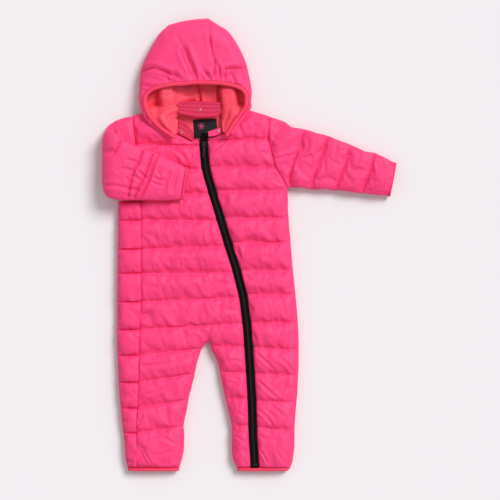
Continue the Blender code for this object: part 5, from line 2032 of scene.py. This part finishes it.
@dataclass
class Stitching:
    """The thread along the quilting and the seams, whose dark colour also stands in as painted shade in the
    stitched grooves.
    """

    pitch: float = 3.1
    sink: float = -0.12

    def quilting(self) -> list[Plan]:
        """Return the stitched lines of the two fronts and the wrapped side, as plan paths.

        Returns:
            The lines.
        """
        outer_rail = np.vstack([RIGHT_ARMHOLE, SIDE_SEAM[1:]])
        left_rail = np.vstack([LEFT_ARMHOLE, LEFT_SIDE[1:]])
        lines = []
        for table_rows, left, right, inset in (
                (RIGHT_CHEST_LINES[:-1], outer_rail, ZIP_LINE, (1.5, -ZIP_HALF_WIDTH - 1.0)),
                (RIGHT_LEG_LINES[1:-1], outer_rail, RIGHT_INSEAM, (1.5, -9.0)),
                (INNER_STRIP_LINES[1:-1], LEFT_INSEAM, ZIP_LINE, (9.0, -ZIP_HALF_WIDTH - 1.0)),
                (LEFT_FRONT_LINES[:-1], ZIP_LINE, left_rail, (ZIP_HALF_WIDTH + 1.0, -9.0))):
            for a, b in table_rows:
                start, end = (a, b) if left is not ZIP_LINE else (b, a)
                lines.append(path((rail(left, start) + inset[0], start), (rail(right, end) + inset[1], end)))
        for low, high in WRAP_LINES[1:-1]:
            lines.append(path((rail(RIGHT_SIDE, low) + 8.0, low), (rail(SIDE_SEAM, high) - 1.5, high)))
        return lines

    def build(self, wardrobe: Wardrobe, panels: Sequence[bpy.types.Object],
              cloths: Sequence[bpy.types.Object], extra: Sequence[Plan]) -> None:
        """Sew the lines of the panels on the panels alone, and the extra ones on the top cloth.

        Args:
            wardrobe: The materials.
            panels: The fronts and the back.
            cloths: All the quilted cloth.
            extra: The lines laid on the top cloth.
        """
        group = repeat_group("stitches", bead("stitch", 6, 5, (0.5, 0.5, 1.3)), True)
        lines = [
            resample(line, max(4, int(np.linalg.norm(line[-1] - line[0]) / STEP)))
            for line in self.quilting()]
        more = [resample(smooth_line(line, 8), 40) for line in extra]
        laid = [lay_on(panels, line, self.sink) for line in lines]
        laid += [lay_on(cloths, line, self.sink) for line in more]
        item = repeat_along(
            "quilting_stitches", [line for line in laid if len(line) > 3], group, self.pitch, 1.0,
            wardrobe.materials[Finish.THREAD])
        shade(item, 80.0)
        wardrobe.dress(item, Finish.THREAD)


# --------------------------------------------------------------------------- zip and neck
@dataclass
class FrontZip:
    """The woven tapes, the coil, the slider with its pull, and the stop."""

    slider_y: float = 169.0
    hinge: tuple[float, float, float] = (-78.53, 168.0, 23.4)

    def build(self, wardrobe: Wardrobe) -> None:
        """Make every part of the zip.

        Args:
            wardrobe: The materials.
        """
        heights = np.linspace(189.0, -379.0, 154)
        for name, node, sign in (("tape_right", "zip_tape_right", -1.0), ("tape_left", "zip_tape_left", 1.0)):
            across = np.array([0.25, 1.2, 2.2, 3.2, 4.2, ZIP_HALF_WIDTH - 0.5, ZIP_HALF_WIDTH - 0.2])
            top_z = np.array([17.3, 17.9, 18.1, 18.0, 17.5, 17.2, 16.6])
            top, low = [], []
            for y in heights:
                middle = rail(ZIP_LINE, y)
                narrow = 1.0 - 0.55 * np.clip((y - 172.0) / 17.0, 0.0, 1.0) * (sign < 0.0)
                xs = middle + sign * across * narrow
                top.append(np.column_stack([xs, np.full(len(xs), y), top_z]))
                low.append(np.column_stack([xs, np.full(len(xs), y), np.full(len(xs), 15.9)]))
            cloth = ClothMesh(name + "_cloth")
            twin(cloth, np.array(top), np.array(low))
            item = finish_solid(cloth, 50.0)
            wardrobe.dress(item, Finish.ZIP_TAPE, (node,))
        ys = np.linspace(160.0, -371.0, 200)
        line = np.array([(rail(ZIP_LINE, y), y, 18.0) for y in ys])
        group = repeat_group("zip_coil", bead("tooth", 8, 6, (1.75, 0.75, 0.5)), False)
        coil = repeat_along("zip_coil", [line], group, 1.35, 1.0, wardrobe.materials[Finish.COIL])
        shade(coil, 80.0)
        wardrobe.dress(coil, Finish.COIL)
        self.slider(wardrobe)
        stop = rounded_box("bottom_stop", (8.0, -374.0, 19.0), (7.6, 4.4, 1.5), 0.5)
        wardrobe.dress(stop, Finish.HARDWARE, ("zip_stop",))

    def slider(self, wardrobe: Wardrobe) -> None:
        """Make the slider's body, the bridge over it, and the pull tab that hangs from the bridge.

        Args:
            wardrobe: The materials.
        """
        x, y = rail(ZIP_LINE, self.slider_y), self.slider_y
        outline = path((-3.0, -6.0), (3.0, -6.0), (3.6, -1.0), (4.4, 3.0), (4.0, 5.4), (1.3, 6.0), (0.0, 4.6),
                       (-1.3, 6.0), (-4.0, 5.4), (-4.4, 3.0), (-3.6, -1.0))
        body = plate("slider_body", outline + (x, y), 18.5, 2.6, 0.45)
        rise = np.linspace(0.0, math.pi, 13)
        bridge_line = np.column_stack([
            np.full(13, x), self.hinge[1] + np.cos(rise) * 3.6, 20.7 + np.sin(rise) * 3.1])
        bridge = sweep_tube("slider_bridge", bridge_line, 1.1, 0.45, 10, 0.0, 1)
        join(body, [bridge])
        wardrobe.dress(body, Finish.HARDWARE, ("zip_slider",))
        loop = np.linspace(-0.5 * math.pi, 1.5 * math.pi, 25)
        ring_line = np.column_stack([
            x + np.cos(loop) * 1.9, self.hinge[1] - 1.6 + np.sin(loop) * 1.9, np.full(25, 22.6)])
        grip = path((-1.9, -4.6), (1.9, -4.6), (2.9, -20.5), (1.8, -22.3), (-1.8, -22.3), (-2.9, -20.5))
        tab = plate("pull_tab", grip + (x, y), 21.9, 1.4, 0.4)
        ring = sweep_tube("pull_ring", ring_line, 0.55, 0.55, 10, 0.0, 1)
        join(tab, [ring])
        wardrobe.dress(tab, Finish.HARDWARE, ("zip_pull",), PULL)


def join(item: bpy.types.Object, others: Sequence[bpy.types.Object]) -> None:
    """Join other meshes into the first.

    Args:
        item: The first mesh.
        others: The meshes that go into it.
    """
    bpy.ops.object.select_all(action="DESELECT")
    for other in others:
        other.select_set(True)
    item.select_set(True)
    bpy.context.view_layer.objects.active = item
    bpy.ops.object.join()


def plate(name: str, outline: Plan, low: float, thickness: float, bevel: float) -> bpy.types.Object:
    """Make a flat plate of an outline, with rounded edges.

    Args:
        name: The plate's name.
        outline: Its outline in plan.
        low: The height of its underside.
        thickness: Its thickness.
        bevel: The radius of its edges.

    Returns:
        The plate.
    """
    mesh = bmesh.new()
    ring = [mesh.verts.new((x * MM, y * MM, low * MM)) for x, y in outline]
    face = mesh.faces.new(ring)
    made = bmesh.ops.extrude_face_region(mesh, geom=[face])["geom"]
    raised = [part for part in made if isinstance(part, bmesh.types.BMVert)]
    bmesh.ops.translate(mesh, vec=(0.0, 0.0, thickness * MM), verts=raised)
    bmesh.ops.recalc_face_normals(mesh, faces=mesh.faces)
    rim = [edge for edge in mesh.edges if len({face.normal.z > 0.5 for face in edge.link_faces}) > 1
           or len({face.normal.z < -0.5 for face in edge.link_faces}) > 1]
    bmesh.ops.bevel(mesh, geom=rim, offset=bevel * MM, segments=3, profile=0.5, affect="EDGES")
    return shade(link_object(name, written(name, mesh)), 40.0)


def rounded_box(name: str, centre: Sequence[float], size: Sequence[float], bevel: float) -> bpy.types.Object:
    """Make a box with rounded edges.

    Args:
        name: The box's name.
        centre: Its centre.
        size: Its sizes along X, Y and Z.
        bevel: The radius of its edges.

    Returns:
        The box.
    """
    x, y = size[0] / 2.0, size[1] / 2.0
    outline = path((-x, -y), (x, -y), (x, y), (-x, y)) + tuple(centre[:2])
    return plate(name, outline, centre[2] - size[2] / 2.0, size[2], bevel)


@dataclass(frozen=True)
class Flap:
    """A thin cloth piece: its outline between two rails, its height and its waves."""

    name: str
    node: str
    upper: tuple[tuple[float, float], ...]
    lower: tuple[tuple[float, float], ...]
    low: float
    thickness: float
    finish: Finish
    ribs: tuple[float, ...] = ()
    columns: int = 40
    rows: int = 20
    wave: float = 0.5
    slope: float = 0.0

    def build(self, wardrobe: Wardrobe) -> bpy.types.Object:
        """Make the piece between its two rails.

        Args:
            wardrobe: The materials.

        Returns:
            The piece.
        """
        top_line = resample(smooth_line(np.array(self.upper, float), 6), self.columns)
        low_line = resample(smooth_line(np.array(self.lower, float), 6), self.columns)
        share = np.linspace(0.0, 1.0, self.rows)[:, None, None]
        plan = top_line[None] * (1.0 - share) + low_line[None] * share
        place = np.broadcast_to(share[..., 0], plan.shape[:2])
        edge = np.minimum(np.minimum(place, 1.0 - place) * 12.0, 1.0)
        relief = self.wave * wander_plan(plan, 12.0, len(self.name)) * edge
        for rib in self.ribs:
            relief = relief - 0.75 * np.exp(-((place - rib) / 0.055) ** 2)
        upper = self.low + self.thickness * (0.45 + 0.55 * ease(edge, 1.0)) + relief
        upper = upper + self.slope * (0.5 - place)
        lower = np.full(plan.shape[:2], self.low) + self.slope * (0.5 - place)
        cloth = ClothMesh(self.name)
        twin(cloth, with_height(plan, np.maximum(upper, lower + 0.4)), with_height(plan, lower))
        item = finish_solid(cloth)
        wardrobe.dress(item, self.finish, (self.node,))
        return item


FLAPS = (
    # The two collar pieces inside the neck are coloured in painted shade; the tab outside is the plain shell.
    Flap("collar_inside_back", "collar_back", ((-121, 241), (-100, 242), (-84, 242), (-50, 240)),
         ((-121.5, 222), (-104, 217), (-84, 214.5), (-58, 216), (-49.5, 221)), 27.0, 1.9, Finish.COLLAR_SHADED,
         (0.22, 0.48, 0.74), 60, 30, 0.5),
    Flap("neck_facing", "neck_lining", ((-160, 226.5), (-120, 227), (-70, 227), (-22, 226.5)),
         ((-159, 221), (-144, 207.5), (-126, 192.5), (-103, 180), (-88, 179), (-71, 184), (-60, 189),
          (-46, 197), (-35, 209), (-25, 220)), 12.4, 1.5, Finish.LINING, (), 70, 16, 0.35),
    Flap("collar_inside_right", "collar_right", ((-121.5, 213), (-109, 208), (-97, 191), (-95, 178)),
         ((-121.5, 187), (-115, 184), (-107, 180), (-98.6, 176)), 15.6, 1.9, Finish.COLLAR_SHADED,
         (0.35, 0.6), 40, 20, 0.7),
    Flap("collar_tab", "collar_left", ((-71, 191), (-63, 193.6), (-56, 196), (-49.5, 197)),
         ((-70, 182.4), (-63, 182.8), (-57, 184.4), (-49.5, 188.5)), 25.8, 2.0, Finish.SHELL,
         (0.45,), 30, 18, 0.3),
)


@dataclass
class Neck:
    """What shows inside the neck: the facing, the collar, the label and the snaps."""

    label_centre: tuple[float, float] = (-75.8, 197.0)
    label_size: tuple[float, float] = (40.0, 32.0)
    snaps: tuple[tuple[str, float, float, float], ...] = (
        ("right", -116.0, 190.0, 17.9), ("back", -84.0, 228.0, 29.1), ("left", -53.5, 191.5, 28.0))
    snap_profile: tuple[tuple[float, float], ...] = (
        (0.0, 1.1), (0.6, 1.05), (0.9, 0.7), (1.2, 0.6), (1.6, 0.9), (2.0, 0.75), (2.2, 0.3), (2.2, 0.0),
        (0.0, 0.0))

    def build(self, wardrobe: Wardrobe) -> None:
        """Make every piece at the neck.

        Args:
            wardrobe: The materials.
        """
        for flap in FLAPS:
            item = flap.build(wardrobe)
        self.label(wardrobe)
        for side, x, y, z in self.snaps:
            cap = lathe("snap_cap_" + side, self.snap_profile, (x, y, z))
            wardrobe.dress(cap, Finish.SNAP, ("snap_" + side,))

    def label(self, wardrobe: Wardrobe) -> None:
        """Make the woven label, folded along its top edge, with a plain stitched star on it.

        Args:
            wardrobe: The materials.
        """
        x, y = self.label_centre
        w, h = self.label_size[0] / 2.0, self.label_size[1] / 2.0
        turn = math.radians(3.0)
        spin = np.array(((math.cos(turn), math.sin(turn)), (-math.sin(turn), math.cos(turn))))
        outline = path((-w, -h), (w, -h), (w, h), (-w, h)) @ spin + (x, y)
        label = plate("woven_label", outline, 14.2, 0.8, 0.3)
        edge = path((-w, h - 4.2), (w, h - 4.2), (w, h), (-w, h)) @ spin + (x, y)
        fold = plate("label_fold", edge, 14.6, 0.75, 0.3)
        join(label, [fold])
        wardrobe.dress(label, Finish.LABEL, ("label",))
        arms = []
        for k in range(3):
            way = np.array((math.cos(math.pi * k / 3.0), math.sin(math.pi * k / 3.0)))
            side = np.array((-way[1], way[0]))
            centre = np.array((x - 7.0, y + 4.0))
            line = np.array([(*(centre + way * s), 15.1) for s in (-6.5, -2.5, 2.5, 6.5)])
            arms.append(sweep_tube("star_arm", line, 0.5, 0.2, 8, 0.0, 1))
            for sign in (-1.0, 1.0):
                middle = centre + sign * way * 4.2
                bar = np.array([(*(middle + side * s), 15.1) for s in (-2.0, -0.7, 0.7, 2.0)])
                arms.append(sweep_tube("star_bar", bar, 0.45, 0.2, 8, 0.0, 1))
        join(arms[0], arms[1:])
        arms[0].name = "label_motif"
        wardrobe.dress(arms[0], Finish.MOTIF)


def lathe(name: str, profile: Sequence[tuple[float, float]], place: Sequence[float]) -> bpy.types.Object:
    """Make a closed turned form from a profile of radius and height, ending on its axis.

    Args:
        name: The form's name.
        profile: Its radius and height at each point.
        place: Where its axis and its height 0 are.

    Returns:
        The form.
    """
    sides = 28
    turn = np.linspace(0.0, 2.0 * math.pi, sides, endpoint=False)
    rings = []
    for radius, height in profile:
        rings.append(np.column_stack([
            place[0] + np.cos(turn) * radius, place[1] + np.sin(turn) * radius,
            np.full(sides, place[2] + height)]))
    cloth = ClothMesh(name)
    cloth.add(np.array(rings), closed=True)
    return finish_solid(cloth, 50.0)


# --------------------------------------------------------------------------- studio
@dataclass
class Studio:
    """The pale floor, the soft lights and the camera straight above."""

    view_width: float = 0.85
    camera_height: float = 3.0
    view_centre_y: float = -0.0094
    sensor: float = 36.0

    def build(self) -> None:
        """Make the floor, the lights and the camera."""
        bpy.context.scene.view_settings.view_transform = "Standard"
        self.floor()
        self.camera()
        self.sun("key", (0.66, 0.60, 1.0), 26.0, 2.45)
        world = bpy.data.worlds.new("studio")
        bpy.context.scene.world = world
        world.use_nodes = True
        sky = world.node_tree.nodes["Background"]
        sky.inputs["Color"].default_value = (1.0, 0.985, 1.0, 1.0)
        sky.inputs["Strength"].default_value = 0.55

    def floor(self) -> None:
        """Make the pale floor."""
        mesh = bmesh.new()
        bmesh.ops.create_grid(mesh, x_segments=1, y_segments=1, size=4.0)
        data = written("floor", mesh)
        data.transform(Matrix.Translation((0.0, 0.0, -0.0004)))
        item = link_object("floor", data)
        material = bpy.data.materials.new("pale_floor")
        material.use_nodes = True
        shader = material.node_tree.nodes["Principled BSDF"]
        shader.inputs["Base Color"].default_value = srgb(229, 227, 229)
        shader.inputs["Roughness"].default_value = 0.9
        shader.inputs["Specular IOR Level"].default_value = 0.1
        data.materials.append(material)
        item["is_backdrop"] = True

    def camera(self) -> None:
        """Make the camera, which looks straight down."""
        data = bpy.data.cameras.new("camera")
        data.sensor_width = self.sensor
        data.lens = self.sensor * (self.camera_height - MID_HEIGHT * MM) / self.view_width
        item = link_object("camera", data)
        item.location = (0.0, self.view_centre_y, self.camera_height)
        bpy.context.scene.camera = item

    def sun(self, name: str, way: tuple[float, float, float], spread: float, strength: float) -> None:
        """Make a soft distant light that shines from the given direction.

        Args:
            name: The light's name.
            way: The direction it shines from.
            spread: Its angular size in degrees.
            strength: Its strength.
        """
        data = bpy.data.lights.new(name, "SUN")
        data.angle = math.radians(spread)
        data.energy = strength
        item = link_object(name, data)
        item.rotation_euler = (-Vector(way)).to_track_quat("-Z", "Y").to_euler()


SEWN_CLOTHS = ("sleeve_left_quilt", "sleeve_right_quilt", "hood_quilt_side_right", "hood_quilt_side_left",
               "hood_quilt_centre", "collar_inside_back", "collar_tab")
CHIN_GUARD = ((-41, 179), (-42.5, 173), (-48, 167), (-55, 161.5), (-62, 157))
HOOD_STITCHES = (
    ((-186, 293), (-165, 298), (-148, 293), (-130, 286), (-121, 283.5)), ((-42, 296), (-30, 297), (-8, 301)))


def extra_lines() -> list[Plan]:
    """Return the stitched lines of the sleeves, the hood and the chin guard.

    Returns:
        The lines in plan.
    """
    sleeve, fold = StraightSleeve(), FoldedSleeve()
    lines = sleeve.stitched()
    lines += [np.array(line, float) for line in fold.lines]
    lines += [np.array(line, float) for line in HOOD_STITCHES]
    return lines + [np.array(CHIN_GUARD, float)]


def main() -> tuple:
    """Build every sub-assembly in order and return the frame's box.

    Returns:
        The frame's low and high corner.
    """
    logging.basicConfig(level=logging.INFO, format="%(name)s: %(message)s")
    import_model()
    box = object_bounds()
    Studio().build()
    wardrobe = Wardrobe()
    FrontPanels().build(wardrobe)
    BackPanel().build(wardrobe)
    StraightSleeve().build(wardrobe)
    FoldedSleeve().build(wardrobe)
    Hems().build(wardrobe)
    Hood().build(wardrobe)
    Neck().build(wardrobe)
    FrontZip().build(wardrobe)
    panels = [bpy.data.objects[name] for name in ("front_right_quilt", "front_left_quilt", "back_quilt")]
    cloths = panels + [bpy.data.objects[name] for name in SEWN_CLOTHS]
    Stitching().build(wardrobe, panels, cloths, extra_lines())
    LOG.info("%d pieces", wardrobe.count)
    return box


if __name__ == "__main__":
    FRAME_BOX = main()
